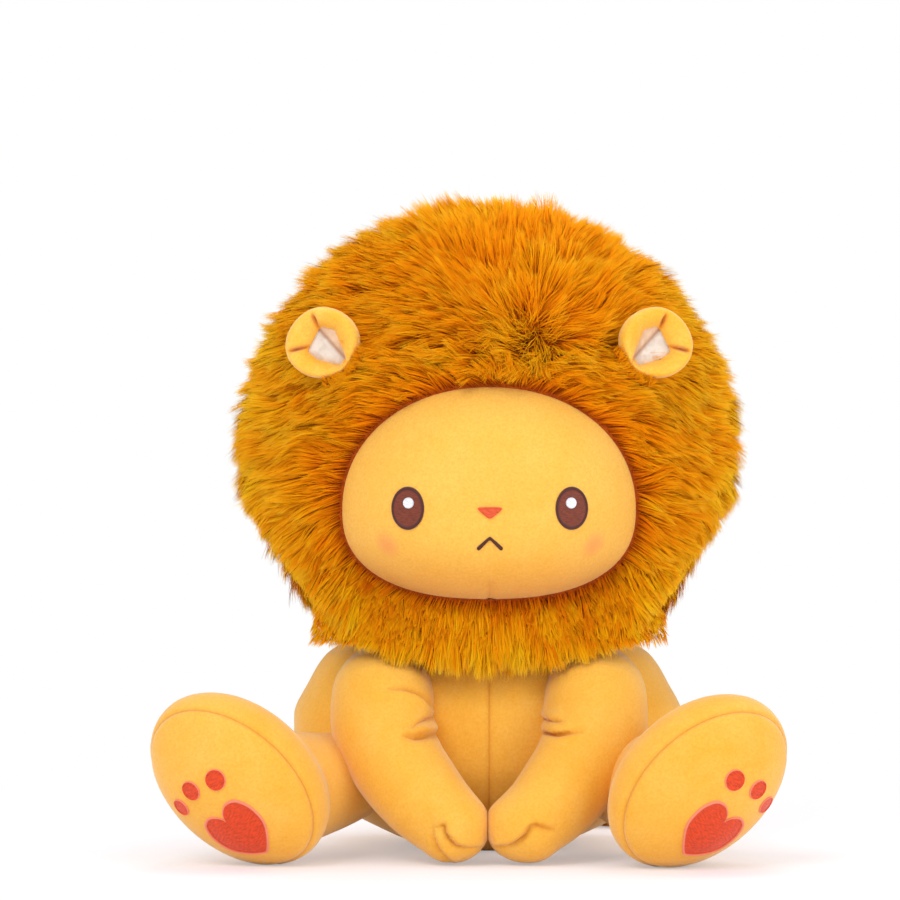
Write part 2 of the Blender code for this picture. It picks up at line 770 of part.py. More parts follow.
def foot_axes(side):
    """Toe direction, width direction and sole direction of a foot that is rolled outward."""
    toe = Vector((side * math.sin(FOOT_ROLL), 0, math.cos(FOOT_ROLL)))
    lean = Vector((side * math.cos(FOOT_ROLL), 0, -math.sin(FOOT_ROLL)))
    sole = AHEAD * math.cos(SOLE_TILT) + lean * math.sin(SOLE_TILT)
    return toe, sole.cross(toe) * side, sole


def foot_form(side, offset=0.0):
    sizes = (FOOT_HALF_LENGTH - offset, FOOT_HALF_WIDTH - offset, FOOT_HALF_DEPTH - offset)
    return egg("foot", foot_place(side), foot_axes(side), sizes, FOOT_SEGMENTS, FOOT_LEVELS)


def leg_form(side, offset=0.0):
    """Foot and thigh joined, let in by an offset."""
    hip = hip_place(side)
    ankle = foot_place(side)
    ankle.z = LEG_HEIGHT
    thigh = tube("thigh", [
        (hip, LEG_RADIUS - offset),
        (hip.lerp(ankle, THIGH_SHARE), LEG_RADIUS - offset),
        (hip.lerp(ankle, ANKLE_SHARE), LEG_RADIUS + ANKLE_SWELL - offset),
    ], LEG_SEGMENTS)
    return carve(foot_form(side, offset), thigh, "UNION")


def make_leg(word, side, torso, hip):
    seam = foot_place(side) + foot_axes(side)[2] * SOLE_SEAM_OFFSET
    sole = foot_axes(side)[2]
    reach = FOOT_HALF_LENGTH + CUTTER_OVERRUN
    skin = carve(leg_form(side), leg_form(side, SKIN_WALL))
    panel = copied(skin)
    stuffing = leg_form(side, SKIN_WALL + SEWN_GAP)
    carve(skin, slab(seam, sole, reach))
    carve(panel, slab(seam + sole * SEWN_GAP, sole, reach), "INTERSECT")
    far = LEFT_FOOT_SPREAD + LEFT_FOOT_REACH + reach
    for body in (skin, panel, stuffing):
        carve(body, block(Vector((-far, -far, -CUTTER_OVERRUN)), Vector((far, far, 0))))
    for body in (skin, stuffing):
        cut_by_swings(body, torso, hip_place(side), UP * side, leg_swings(side))
    finish_part(f"leg_skin_{word}", skin, "velour", hip)
    finish_part(f"sole_{word}", panel, "velour", hip)
    finish_part(f"leg_filling_{word}", stuffing, "fibre", hip)


def make_paw_print(word, side, hip):
    """A heart and three toe pads, stitched on the sole."""
    toe, width, sole = foot_axes(side)
    middle = foot_place(side) + sole * FOOT_HALF_DEPTH

    def foot(growth):
        return foot_form(side, -growth)

    left_half = [(-x, z) for x, z in HEART_OUTLINE_SHARES[-2:0:-1]]
    centre = middle - toe * HEART_LOWERING - width * HEART_SHIFT
    heart = [centre + width * HEART_HALF_WIDTH * x + toe * HEART_HEIGHT * z
             for x, z in list(HEART_OUTLINE_SHARES) + left_half]
    finish_part(f"heart_{word}", embroider("heart", heart, sole, foot), "red_thread", hip)
    for number, (across, along, wide, tall) in enumerate(TOE_PAD_SHARES, 1):
        place = middle + width * FOOT_HALF_WIDTH * across + toe * FOOT_HALF_LENGTH * along
        outline = oval(place, width, toe, TOE_PAD_RADIUS * wide, TOE_PAD_RADIUS * tall, SPOT_POINTS)
        pad = embroider("toe_pad", outline, sole, foot)
        finish_part(f"toe_pad_{word}_{number}", pad, "red_thread", hip)


# Tail and its tuft

def make_tail(torso):
    pivot = Vector((0, BODY_BACK_DEPTH, TAIL_ROOT_HEIGHT))
    low = TAIL_RADIUS + TAIL_CLEARANCE
    stations = []
    for sweep, reach, lift in TAIL_STATION_SHARES:
        behind = (BODY_BACK_DEPTH + TAIL_STAND_OFF) * reach
        height = low + (TAIL_ROOT_HEIGHT - low) * lift
        stations.append((Vector((TAIL_SWEEP * sweep, behind, height)), TAIL_RADIUS))
    tail = tube("tail", stations, TAIL_SEGMENTS)
    cut_by_swings(tail, torso, pivot, UP, (0, -TAIL_SWING, TAIL_SWING))
    end = stations[-1][0]
    middle = Vector((end.x + TUFT_HALF_LENGTH, end.y, TUFT_RADIUS))
    half_sizes = (TUFT_RADIUS, TUFT_RADIUS, TUFT_HALF_LENGTH)
    tuft = egg("tuft", middle, (AHEAD, UP, ACROSS), half_sizes, TUFT_SEGMENTS, TUFT_LEVELS)
    carve(tuft, grown(tail, SEWN_GAP))
    carrier = joint_place("tail_root", pivot)
    finish_part("tail", tail, "velour", carrier)
    finish_part("tail_tuft", tuft, "mane_pile", carrier)


def build():
    clear_scene()
    torso, core, pile, socket = body_form(), head_core_form(), pile_form(), neck_socket()
    head = joint_place("neck", UP * SHOULDER_HEIGHT)
    make_torso(torso)
    make_head_stuffing(core, socket, head)
    make_face_panel(core, head)
    make_mane(socket, head)

    def crown(growth):
        return grown(core, growth)

    make_eyes(crown, head)
    make_nose(crown, head)
    make_mouth(crown, head)
    for word, side in SIDES.items():
        hip = joint_place(f"hip_{word}", hip_place(side))
        make_ear(word, side, pile, head)
        make_arm(word, side, torso)
        make_leg(word, side, torso, hip)
        make_paw_print(word, side, hip)
    make_tail(torso)
    discard(torso, core, pile, socket)


build()
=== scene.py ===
import math

import bmesh
import bpy
import numpy as np
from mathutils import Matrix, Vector
from mathutils.bvhtree import BVHTree
from mathutils.kdtree import KDTree


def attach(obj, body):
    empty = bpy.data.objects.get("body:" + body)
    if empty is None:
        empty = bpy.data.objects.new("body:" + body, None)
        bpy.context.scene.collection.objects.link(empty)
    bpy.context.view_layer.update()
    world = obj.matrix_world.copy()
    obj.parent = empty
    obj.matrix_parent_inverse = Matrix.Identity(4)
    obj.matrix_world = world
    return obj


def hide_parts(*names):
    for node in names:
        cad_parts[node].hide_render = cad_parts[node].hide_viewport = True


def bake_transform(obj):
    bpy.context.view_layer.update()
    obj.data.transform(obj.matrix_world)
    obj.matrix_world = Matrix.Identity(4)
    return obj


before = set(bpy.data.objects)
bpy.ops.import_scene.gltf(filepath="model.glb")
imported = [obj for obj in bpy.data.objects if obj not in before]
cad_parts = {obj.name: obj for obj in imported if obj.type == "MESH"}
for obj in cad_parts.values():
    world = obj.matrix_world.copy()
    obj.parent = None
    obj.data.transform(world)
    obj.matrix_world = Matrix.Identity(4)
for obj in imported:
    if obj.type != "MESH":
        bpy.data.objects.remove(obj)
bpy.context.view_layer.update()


# Torso
# The stuffed velour body that head, arms, legs and tail are sewn to, with a flat seat to sit on.
# Two front panels meet in a seam down the belly, and a seam at each side joins them to the back.

BODY_HALF_WIDTH, BODY_FRONT, BODY_BACK, SHOULDERS = 0.166, 0.108, 0.114, 0.168
BODY_HEIGHTS = (0.0, 0.06, 0.20, 0.31, 0.42, 0.63, 0.80, 0.925, 1.0)
BODY_WIDTHS = (0.34, 0.49, 0.76, 0.895, 0.965, 0.965, 0.89, 0.81, 0.70)
BODY_DEPTHS = (0.56, 0.74, 0.91, 0.975, 1.0, 0.975, 0.91, 0.84, 0.77)
NECK_RADIUS, NECK_RISE = 0.078, 0.0385


def dye(red, green, blue):
    """A cloth's colour, from the shade that it shows under plain light."""
    shares = [value / 255 for value in (red, green, blue)]
    return [s / 12.92 if s <= 0.04045 else ((s + 0.055) / 1.055) ** 2.4 for s in shares] + [1.0]


def fair_curve(places, values):
    """A smooth curve through the values, with no bumps of its own between them."""
    x, y = np.array(places, float), np.array(values, float)
    rise = np.diff(y) / np.diff(x)
    slope = np.zeros(len(x))
    for i in range(1, len(x) - 1):
        if rise[i - 1] * rise[i] > 0:
            slope[i] = 2 * rise[i - 1] * rise[i] / (rise[i - 1] + rise[i])
    slope[0], slope[-1] = rise[0], rise[-1]

    def at(place):
        place = np.clip(place, x[0], x[-1])
        i = np.clip(np.searchsorted(x, place) - 1, 0, len(x) - 2)
        step = x[i + 1] - x[i]
        t = (place - x[i]) / step
        start, end = (1 + 2 * t) * (1 - t) ** 2 * y[i], t * t * (3 - 2 * t) * y[i + 1]
        return start + end + t * (1 - t) ** 2 * step * slope[i] - t * t * (1 - t) * step * slope[i + 1]

    return at


def rows_joined(count, around):
    """Quads between rows of points, where each row goes right round."""
    index = np.arange(count * around).reshape(count, around)
    beside = np.roll(index, -1, axis=1)
    return np.stack([index[:-1], beside[:-1], beside[1:], index[1:]], axis=-1).reshape(-1, 4)


def cut_cloth(name, points, faces, finish):
    """A smooth piece of cloth from its points and faces."""
    mesh = bpy.data.meshes.new(name)
    mesh.from_pydata(np.asarray(points).tolist(), [], np.asarray(faces).tolist())
    shape = bmesh.new()
    shape.from_mesh(mesh)
    bmesh.ops.remove_doubles(shape, verts=shape.verts, dist=1e-6)
    bmesh.ops.recalc_face_normals(shape, faces=shape.faces)
    shape.to_mesh(mesh)
    shape.free()
    mesh.shade_smooth()
    piece = bpy.data.objects.new(name, mesh)
    bpy.context.scene.collection.objects.link(piece)
    mesh.materials.append(finish)
    return piece


def points_of(piece):
    points = np.zeros(len(piece.data.vertices) * 3)
    piece.data.vertices.foreach_get("co", points)
    return points.reshape(-1, 3)


def normals_of(piece):
    normals = np.zeros(len(piece.data.vertices) * 3)
    piece.data.vertex_normals.foreach_get("vector", normals)
    return normals.reshape(-1, 3)


def move_points(piece, points):
    piece.data.vertices.foreach_set("co", np.ascontiguousarray(points).ravel())
    piece.data.update()


def shade_in(piece, amount, name="crease"):
    """Mark how far each point lies in a crease, where the cloth's colour is darkened as painted shade."""
    layer = piece.data.attributes.get(name) or piece.data.attributes.new(name, "FLOAT", "POINT")
    before = np.zeros(len(piece.data.vertices))
    layer.data.foreach_get("value", before)
    layer.data.foreach_set("value", np.maximum(before, amount))


def draw_in(piece, distance, depth, width, swell=0.35, shade=1.0):
    """Pull the cloth in along a line and let it swell on both sides of it; the line is marked for painted shade, as
    strong as shade says.
    """
    pull = np.exp(-(distance / width) ** 2)
    beside = np.exp(-((distance - 2.3 * width) / (1.3 * width)) ** 2) * swell
    move_points(piece, points_of(piece) - normals_of(piece) * ((pull - beside) * depth)[:, None])
    shade_in(piece, pull * shade)


def fasten(piece, body, nodes=()):
    """Mark where the cloth was cut, and hang the piece on its body in place of the solids it covers."""
    layer = piece.data.attributes.get("cut") or piece.data.attributes.new("cut", "FLOAT_VECTOR", "POINT")
    layer.data.foreach_set("vector", points_of(piece).ravel())
    if body:
        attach(piece, body)
    if nodes:
        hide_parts(*nodes)


class Finish:
    """A cloth's finish, put together from Blender's shader nodes."""

    def __init__(self, name, roughness, sheen=0.0, sheen_roughness=0.5, sheen_tint=(1, 1, 1, 1)):
        self.material = bpy.data.materials.new(name)
        self.material.use_nodes = True
        self.nodes, self.links = self.material.node_tree.nodes, self.material.node_tree.links
        self.shader = self.nodes["Principled BSDF"]
        self.shader.inputs["Roughness"].default_value = roughness
        self.shader.inputs["Specular IOR Level"].default_value = 0.25
        self.shader.inputs["Sheen Weight"].default_value = sheen
        self.shader.inputs["Sheen Roughness"].default_value = sheen_roughness
        self.shader.inputs["Sheen Tint"].default_value = sheen_tint

    def add(self, kind, settings=(), inputs=()):
        node = self.nodes.new("ShaderNode" + kind)
        for key, value in dict(settings).items():
            setattr(node, key, value)
        for key, value in dict(inputs).items():
            if isinstance(value, bpy.types.NodeSocket):
                self.links.new(value, node.inputs[key])
            else:
                node.inputs[key].default_value = value
        return node

    def mark(self, name, output="Vector"):
        return self.add("Attribute", {"attribute_name": name}).outputs[output]

    def noise(self, place, scale, detail=2.0, roughness=0.5, distortion=0.0):
        return self.add("TexNoise", (), {
            "Vector": place, "Scale": scale, "Detail": detail, "Roughness": roughness,
            "Distortion": distortion}).outputs["Fac"]

    def sum(self, kind, first, second=0.0):
        return self.add("Math", {"operation": kind}, {0: first, 1: second}).outputs[0]

    def spread(self, value, low, high, start=0.0, end=1.0):
        return self.add("MapRange", {"clamp": True}, {
            "Value": value, "From Min": low, "From Max": high, "To Min": start, "To Max": end}).outputs[0]

    def ramp(self, value, stops):
        node = self.add("ValToRGB", (), {"Fac": value})
        ramp = node.color_ramp
        while len(ramp.elements) < len(stops):
            ramp.elements.new(0.5)
        for element, (place, colour) in zip(ramp.elements, stops):
            element.position, element.color = place, colour
        return node.outputs["Color"]

    def mix(self, share, first, second, kind="MIX"):
        node = self.add("Mix", {"data_type": "RGBA", "blend_type": kind})
        for key, value in ((0, share), (6, first), (7, second)):
            if isinstance(value, bpy.types.NodeSocket):
                self.links.new(value, node.inputs[key])
            else:
                node.inputs[key].default_value = value
        return node.outputs[2]

    def bump(self, height, strength, depth, under=None):
        node = self.add("Bump", (), {"Height": height, "Strength": strength, "Distance": depth})
        if under:
            self.links.new(under, node.inputs["Normal"])
        return node.outputs["Normal"]

    def end(self, colour, normal=None):
        self.links.new(colour, self.shader.inputs["Base Color"])
        if normal:
            self.links.new(normal, self.shader.inputs["Normal"])
        return self.material


def velour(name, seams=(), pale=(249, 194, 86), deep=(245, 180, 56), fold=(216, 124, 26), sheen=0.7):
    """Short-pile velour: cloudy where the pile lies over, pale at a low angle, with painted shade deepening it in
    creases and along seams; fold is the colour of that painted shade and of the fine speckle.
    """
    cloth = Finish(name, 0.85, sheen=sheen, sheen_roughness=0.36, sheen_tint=dye(255, 246, 228))
    place = cloth.mark("cut")
    clouds = cloth.noise(place, 21.0, 3.0, 0.55, 0.6)
    brushed = cloth.noise(place, 95.0, 2.0, 0.6, 0.4)
    tone = cloth.sum("MULTIPLY_ADD", brushed, 0.35)
    cloth.links.new(clouds, tone.node.inputs[2])
    middle = dye(*[(a + b) / 2 for a, b in zip(pale, deep)])
    colour = cloth.ramp(tone, [(0.38, dye(*deep)), (0.64, middle), (0.94, dye(*pale))])
    fuzz = cloth.spread(cloth.noise(place, 460.0, 4.0, 0.8), 0.40, 0.64)
    colour = cloth.mix(cloth.sum("MULTIPLY", fuzz, 0.26), colour, dye(*fold))
    # Painted shade: the colour is pulled towards fold where the crease mark says a crease lies.
    crease = cloth.spread(cloth.mark("crease", "Fac"), 0.05, 1.0)
    colour = cloth.mix(cloth.sum("MULTIPLY", crease, 0.75), colour, dye(*fold))
    nap = cloth.bump(cloth.noise(place, 900.0, 3.0, 0.75), 0.45, 0.0009)
    nap = cloth.bump(cloth.noise(place, 160.0, 2.0, 0.5), 0.25, 0.0012, nap)
    # Painted shade along each seam line: the colour is pulled towards fold there, and the bump dips.
    for point, direction in seams:
        way = cloth.add("VectorMath", {"operation": "SUBTRACT"}, {0: place, 1: tuple(point)}).outputs[0]
        off = cloth.add("VectorMath", {"operation": "DOT_PRODUCT"}, {0: way, 1: tuple(direction)}).outputs["Value"]
        line = cloth.spread(cloth.sum("ABSOLUTE", off), 0.0003, 0.0010, 1.0, 0.0)
        colour = cloth.mix(cloth.sum("MULTIPLY", line, 0.40), colour, dye(*fold))
        nap = cloth.bump(cloth.sum("SUBTRACT", 1.0, line), 0.5, 0.0008, nap)
    return cloth.end(colour, nap)


def swell(piece, held, cap, pressure=4.0, steps=20):
    """Stuff a closed piece: its cloth blows up from inside while the held points stay sewn down."""
    start = points_of(piece)
    group = piece.vertex_groups.new(name="held")
    for share in (1.0, 0.5):
        chosen = np.nonzero((held >= share) if share == 1.0 else (held >= share) & (held < 1.0))[0]
        group.add(chosen.tolist(), share, "REPLACE")
    cloth = piece.modifiers.new("stuffing", "CLOTH")
    cloth.settings.use_pressure = True
    cloth.settings.uniform_pressure_force = pressure
    cloth.settings.effector_weights.gravity = 0.0
    cloth.settings.vertex_group_mass = "held"
    cloth.settings.quality = 6
    cloth.settings.tension_stiffness = 20.0
    cloth.settings.compression_stiffness = 20.0
    cloth.settings.bending_stiffness = 0.4
    cloth.point_cache.frame_start, cloth.point_cache.frame_end = 1, steps
    scene = bpy.context.scene
    for step in range(1, steps + 1):
        scene.frame_set(step)
    grown = piece.evaluated_get(bpy.context.evaluated_depsgraph_get()).to_mesh()
    end = np.zeros(len(grown.vertices) * 3)
    grown.vertices.foreach_get("co", end)
    piece.modifiers.remove(cloth)
    scene.frame_set(1)
    way = end.reshape(-1, 3) - start
    length = np.maximum(np.linalg.norm(way, axis=1), 1e-9)
    move_points(piece, start + way * (cap * np.tanh(length / cap) / length)[:, None])
    piece.vertex_groups.clear()


def body_rows():
    """Rows of points over the torso, from the middle of the seat up to the end of the neck."""
    width, depth = fair_curve(BODY_HEIGHTS, BODY_WIDTHS), fair_curve(BODY_HEIGHTS, BODY_DEPTHS)
    turn = np.linspace(0, 2 * math.pi, 360, endpoint=False)
    turn = turn - 0.22 * np.sin(2 * turn)
    across, along = np.cos(turn), np.sin(turn)
    rows = []
    for share in (0.0, 0.2, 0.4, 0.6, 0.8, 0.95):
        rows.append((share * BODY_WIDTHS[0], share * BODY_DEPTHS[0], 0.0, False))
    for height in np.linspace(0, 1, 84) ** 1.15:
        rows.append((float(width(height)), float(depth(height)), height * SHOULDERS, False))
    for share, rise in ((1.0, 0.02), (0.97, 0.27), (0.86, 0.58), (0.62, 0.84), (0.33, 0.97), (0.0, 1.0)):
        rows.append((NECK_RADIUS * share, NECK_RADIUS * share, SHOULDERS + NECK_RISE * rise, True))
    table = []
    for wide, deep, height, neck in rows:
        if neck:
            x, y = wide * across, deep * along
        else:
            x = BODY_HALF_WIDTH * wide * across
            y = np.where(along > 0, BODY_BACK * deep, BODY_FRONT * deep) * along
        table.append(np.stack([x, y, np.full_like(x, height)], axis=-1))
    return np.array(table)


belly_seam = [((0, 0, 0), (1, 0, 0))]
body = body_rows()
torso = cut_cloth("torso_cover", body.reshape(-1, 3), rows_joined(*body.shape[:2]), velour("torso_velour", belly_seam))
spots = points_of(torso)
on_shoulders = spots[:, 2] > SHOULDERS - 0.004
under = spots[:, 2] < 0.004
seamed = (np.abs(spots[:, 0]) < 0.003) | (np.abs(spots[:, 1]) < 0.003)
swell(torso, np.where(on_shoulders | under, 1.0, np.where(seamed, 1.0, 0.0)), 0.0035)
spots = points_of(torso)
spots[:, 2] = np.maximum(spots[:, 2], 0.0)
move_points(torso, spots)
draw_in(torso, np.where(spots[:, 2] > 0.004, np.abs(spots[:, 0]), 1.0), 0.0009, 0.0028, 0.2, 0.35)
draw_in(torso, np.where(spots[:, 2] > 0.004, np.abs(spots[:, 1]), 1.0), 0.0012, 0.0030, 0.2, 0.35)
fasten(torso, "torso", ("torso_skin", "torso_filling"))


# Legs and soles
# Each leg is a velour tube that widens into a fat foot, stuffed and sewn to the torso at the hip.
# The sole is its own panel, let into the foot with a seam that draws the cloth in all round.

HIP = np.array((0.08632, -0.04536, 0.062))
LEG_RADIUS, ANKLE_SWELL, THIGH_SHARE, ANKLE_SHARE = 0.039, 0.006, 0.45, 0.82
FOOT_HALF = (0.080, 0.061, 0.045)
FOOT_ROLL, SOLE_TILT, SOLE_SEAM = math.radians(48), math.radians(32), 0.015
FEET = {"left": (-1, np.array((-0.196, -0.170, 0.0677))), "right": (1, np.array((0.161, -0.190, 0.0677)))}


def foot_axes(side):
    """The toe, width and sole directions of a foot that has rolled outward."""
    toe = np.array((side * math.sin(FOOT_ROLL), 0, math.cos(FOOT_ROLL)))
    lean = np.array((side * math.cos(FOOT_ROLL), 0, -math.sin(FOOT_ROLL)))
    sole = np.array((0, -1, 0)) * math.cos(SOLE_TILT) + lean * math.sin(SOLE_TILT)
    return toe, np.cross(sole, toe) * side, sole


def stuffed_tube(stations, around=36, ends=7):
    """Rows of points round a bent tube with rounded ends; a station is a place and a radius."""
    centres, radii = np.array([s[0] for s in stations]), np.array([s[1] for s in stations])
    shares = np.concatenate([[0], np.cumsum(np.linalg.norm(np.diff(centres, axis=0), axis=1))])
    shares = shares / shares[-1]
    steps = np.linspace(0, 1, 64)
    line = np.stack([fair_curve(shares, centres[:, i])(steps) for i in range(3)], axis=-1)
    radius = fair_curve(shares, radii)(steps)
    ahead = np.gradient(line, axis=0)
    ahead /= np.linalg.norm(ahead, axis=1)[:, None]
    first = [(line[0] - ahead[0] * radius[0] * math.cos(t), ahead[0], radius[0] * math.sin(t))
             for t in np.linspace(0, math.pi / 2, ends, endpoint=False)]
    last = [(line[-1] + ahead[-1] * radius[-1] * math.sin(t), ahead[-1], radius[-1] * math.cos(t))
            for t in np.linspace(0, math.pi / 2, ends + 1)[1:]]
    rows = first + list(zip(line, ahead, radius)) + last
    side = np.cross(rows[0][1], (0.0, 0.0, 1.0))
    side /= np.linalg.norm(side)
    turn = np.linspace(0, 2 * math.pi, around, endpoint=False)
    table = []
    for middle, toward, size in rows:
        side = side - toward * side.dot(toward)
        side /= np.linalg.norm(side)
        up = np.cross(side, toward)
        table.append(middle + size * (np.cos(turn)[:, None] * side + np.sin(turn)[:, None] * up))
    return np.array(table)


def foot_rows(side, middle):
    """Rows of points over the foot, from the middle of the sole to the heel side."""
    toe, width, sole = foot_axes(side)
    turn = np.linspace(0, 2 * math.pi, 72, endpoint=False)
    table = []
    for t in np.linspace(0, math.pi, 40):
        out, deep = abs(math.sin(t)) ** 0.94, math.copysign(abs(math.cos(t)) ** 0.97, math.cos(t))
        ring = np.cos(turn)[:, None] * width * FOOT_HALF[1] + np.sin(turn)[:, None] * toe * FOOT_HALF[0]
        table.append(middle + ring * out + sole * FOOT_HALF[2] * deep)
    return np.array(table)


def remeshed(piece, voxel, smoothing, halving=0):
    """Melt a piece's overlapping closed shapes into one even skin."""
    even = piece.modifiers.new("even", "REMESH")
    even.mode, even.voxel_size = "VOXEL", voxel
    soft = piece.modifiers.new("soft", "SMOOTH")
    soft.factor, soft.iterations = 0.5, smoothing
    if halving:
        finer = piece.modifiers.new("finer", "SUBSURF")
        finer.levels = halving
    made = bpy.data.meshes.new_from_object(piece.evaluated_get(bpy.context.evaluated_depsgraph_get()))
    piece.modifiers.clear()
    old = piece.data
    piece.data = made
    bpy.data.meshes.remove(old)
    made.shade_smooth()


def finer(piece):
    """Halve the faces of a piece once it has its shape."""
    piece.modifiers.new("finer", "SUBSURF").levels = 1
    made = bpy.data.meshes.new_from_object(piece.evaluated_get(bpy.context.evaluated_depsgraph_get()))
    piece.modifiers.clear()
    old = piece.data
    piece.data = made
    bpy.data.meshes.remove(old)
    made.shade_smooth()


def split_at(piece, point, direction, name):
    """Cut a piece in two along a plane; what lies ahead of the plane becomes a new piece."""
    panel = piece.copy()
    panel.data = piece.data.copy()
    panel.name = panel.data.name = name
    bpy.context.scene.collection.objects.link(panel)
    for part, keep_ahead in ((piece, False), (panel, True)):
        shape = bmesh.new()
        shape.from_mesh(part.data)
        everything = shape.verts[:] + shape.edges[:] + shape.faces[:]
        bmesh.ops.bisect_plane(shape, geom=everything, dist=1e-5, plane_co=Vector(point),
                               plane_no=Vector(direction), clear_outer=not keep_ahead, clear_inner=keep_ahead)
        shape.to_mesh(part.data)
        shape.free()
        part.data.shade_smooth()
    return panel


leg_covers, soles = {}, {}
for word, (side, middle) in FEET.items():
    toe, width, sole = foot_axes(side)
    hip = HIP * (side, 1, 1)
    ankle = middle * (1, 1, 0) + (0, 0, HIP[2])
    thigh = stuffed_tube([
        (hip + (0, 0, 0.008), LEG_RADIUS - 0.007),
        (hip + (ankle - hip) * THIGH_SHARE + (0, 0, -0.004), LEG_RADIUS + 0.002),
        (hip + (ankle - hip) * ANKLE_SHARE + (0, 0, -0.007), LEG_RADIUS + ANKLE_SWELL + 0.006)])
    foot = foot_rows(side, middle)
    points = np.concatenate([foot.reshape(-1, 3), thigh.reshape(-1, 3)])
    faces = np.concatenate([rows_joined(*foot.shape[:2]),
                            rows_joined(*thigh.shape[:2]) + foot.shape[0] * foot.shape[1]])
    seam = middle + sole * SOLE_SEAM
    leg = cut_cloth(f"leg_cover_{word}", points, faces, velour(f"leg_velour_{word}", [(seam, sole)]))
    remeshed(leg, 0.0036, 14)
    spots = points_of(leg)
    off_seam = np.abs((spots - seam) @ sole)
    swell(leg, np.where((off_seam < 0.003) | (np.linalg.norm(spots - hip, axis=1) < 0.045), 1.0, 0.0), 0.004)
    finer(leg)
    spots = points_of(leg)
    outside = np.linalg.norm((spots - middle) - ((spots - middle) @ sole)[:, None] * sole, axis=1) > 0.03
    draw_in(leg, np.where(outside, np.abs((spots - seam) @ sole), 1.0), 0.0010, 0.0022, 0.15, 0.35)
    spots = points_of(leg)
    spots[:, 2] = np.maximum(spots[:, 2], 0.0004)
    move_points(leg, spots)
    panel = split_at(leg, seam, sole, f"sole_panel_{word}")
    fasten(leg, None, (f"leg_skin_{word}", f"leg_filling_{word}"))
    start = hip + (ankle - hip) * 0.12
    end = hip + (ankle - hip) * 0.50
    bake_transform(leg)
    fasten(panel, f"leg_{word}", (f"sole_{word}",))
    leg_covers[word], soles[word] = leg, panel


# Paw prints
# Each sole carries a heart and three toe pads, filled with red thread and edged with satin stitch.
# The embroidery lies on the velour and draws it down a little at its edge.

HEART_HALF_WIDTH, HEART_HEIGHT, HEART_LOWERING, HEART_SHIFT = 0.0254, 0.051, 0.024, 0.010
HEART_TURN, PAD_RADIUS = math.radians(5), 0.0082
HEART_HALF = (
    (0.03, 0.345), (0.17, 0.435), (0.45, 0.50), (0.78, 0.45), (0.97, 0.28), (1.00, 0.10),
    (0.93, -0.08), (0.74, -0.23), (0.40, -0.39), (0.12, -0.485),
)
TOE_PADS = ((-0.525, 0.287, 0.80, 0.92), (-0.172, 0.328, 0.96, 1.00), (0.212, 0.225, 1.04, 1.04))
# The prints sit a little differently on each foot: how far they are moved across and up
PRINT_SHIFTS = {"left": (0.0033, -0.0040), "right": (-0.0033, 0.0040)}


def threaded(name, fill, rim, rim_start, shine=0.3):
    """Embroidery thread: short slanting stitches over the fill, and a satin edge in its own colour."""
    thread = Finish(name, 0.45, sheen=shine, sheen_roughness=0.4)
    lie, edge = thread.mark("lie"), thread.mark("edge", "Fac")
    slant = thread.add("Mapping", (), {"Vector": lie, "Rotation": (0, 0, math.radians(32)), "Scale": (260, 1500, 1)})
    stitch = thread.noise(slant.outputs[0], 1.0, 2.0, 0.6, 0.3)
    dark = [channel * 0.84 for channel in fill]
    pale = [min(channel * 1.10, 255) for channel in fill]
    body = thread.ramp(stitch, [(0.36, dye(*dark)), (0.52, dye(*fill)), (0.68, dye(*pale))])
    on_rim = thread.spread(edge, rim_start - 0.012, rim_start + 0.012)
    colour = thread.mix(on_rim, body, dye(*rim))
    return thread.end(colour, thread.bump(stitch, 0.55, 0.0006))


def closed_curve(points, count):
    """A smooth closed line through a few points."""
    points = np.array(points, float)
    total = len(points)
    line = []
    for place in np.linspace(0, total, count, endpoint=False):
        i, t = int(place), place - int(place)
        a, b, c, d = (points[(i + k) % total] for k in (-1, 0, 1, 2))
        line.append(0.5 * (2 * b + (c - a) * t + (2 * a - 5 * b + 4 * c - d) * t * t
                           + (3 * b - a - 3 * c + d) * t ** 3))
    return np.array(line)


def stitched(name, ground, middle, across, up, toward, outline, raised, rim, finish, rim_start=0.88):
    """A patch of embroidery laid on a piece: raised is its height, rim the extra height of its edge."""
    across, up, toward = np.array(across, float), np.array(up, float), np.array(toward, float)
    places = [vertex.co.copy() for vertex in ground.data.vertices]
    tree = BVHTree.FromPolygons(places, [tuple(polygon.vertices) for polygon in ground.data.polygons])
    inner = np.linspace(0, rim_start, 9)
    outer = rim_start + (1 - rim_start) * np.array((0.2, 0.4, 0.6, 0.8, 0.93, 1.0, 1.0))
    shares = np.concatenate([inner, outer])
    heights = np.array([1.0] * 8 + [0.85, 1.0, 1.0, 1.0, 0.95, 0.75, 0.35, -0.6]) * raised
    heights += np.array([0.0] * 8 + [0.0, 0.7, 1.0, 1.0, 0.7, 0.2, 0.0, 0.0]) * rim
    spots, flat, edges, quads = [], [], [], []
    for share, height in zip(shares, heights):
        for x, z in outline:
            start = Vector(middle + across * x * share + up * z * share + toward * 0.1)
            hit, normal = tree.ray_cast(start, Vector(-toward))[:2]
            normal = normal if normal.dot(Vector(toward)) > 0 else -normal
            spots.append(hit + normal * height)
            flat.append((x * share * np.linalg.norm(across), z * share * np.linalg.norm(up), 0.0))
            edges.append(share)
    mesh = bpy.data.meshes.new(name)
    mesh.from_pydata([tuple(spot) for spot in spots], [], rows_joined(len(shares), len(outline)).tolist())
    mesh.shade_smooth()
    patch = bpy.data.objects.new(name, mesh)
    bpy.context.scene.collection.objects.link(patch)
    mesh.materials.append(finish)
    shade_in(patch, np.array(edges), "edge")
    layer = mesh.attributes.new("lie", "FLOAT_VECTOR", "POINT")
    layer.data.foreach_set("vector", np.array(flat).ravel())
    return patch


def facing_out(patch, toward):
    """Turn a patch's faces to the side that shows."""
    if patch.data.polygons[len(patch.data.polygons) // 2].normal.dot(Vector(toward)) < 0:
        patch.data.flip_normals()


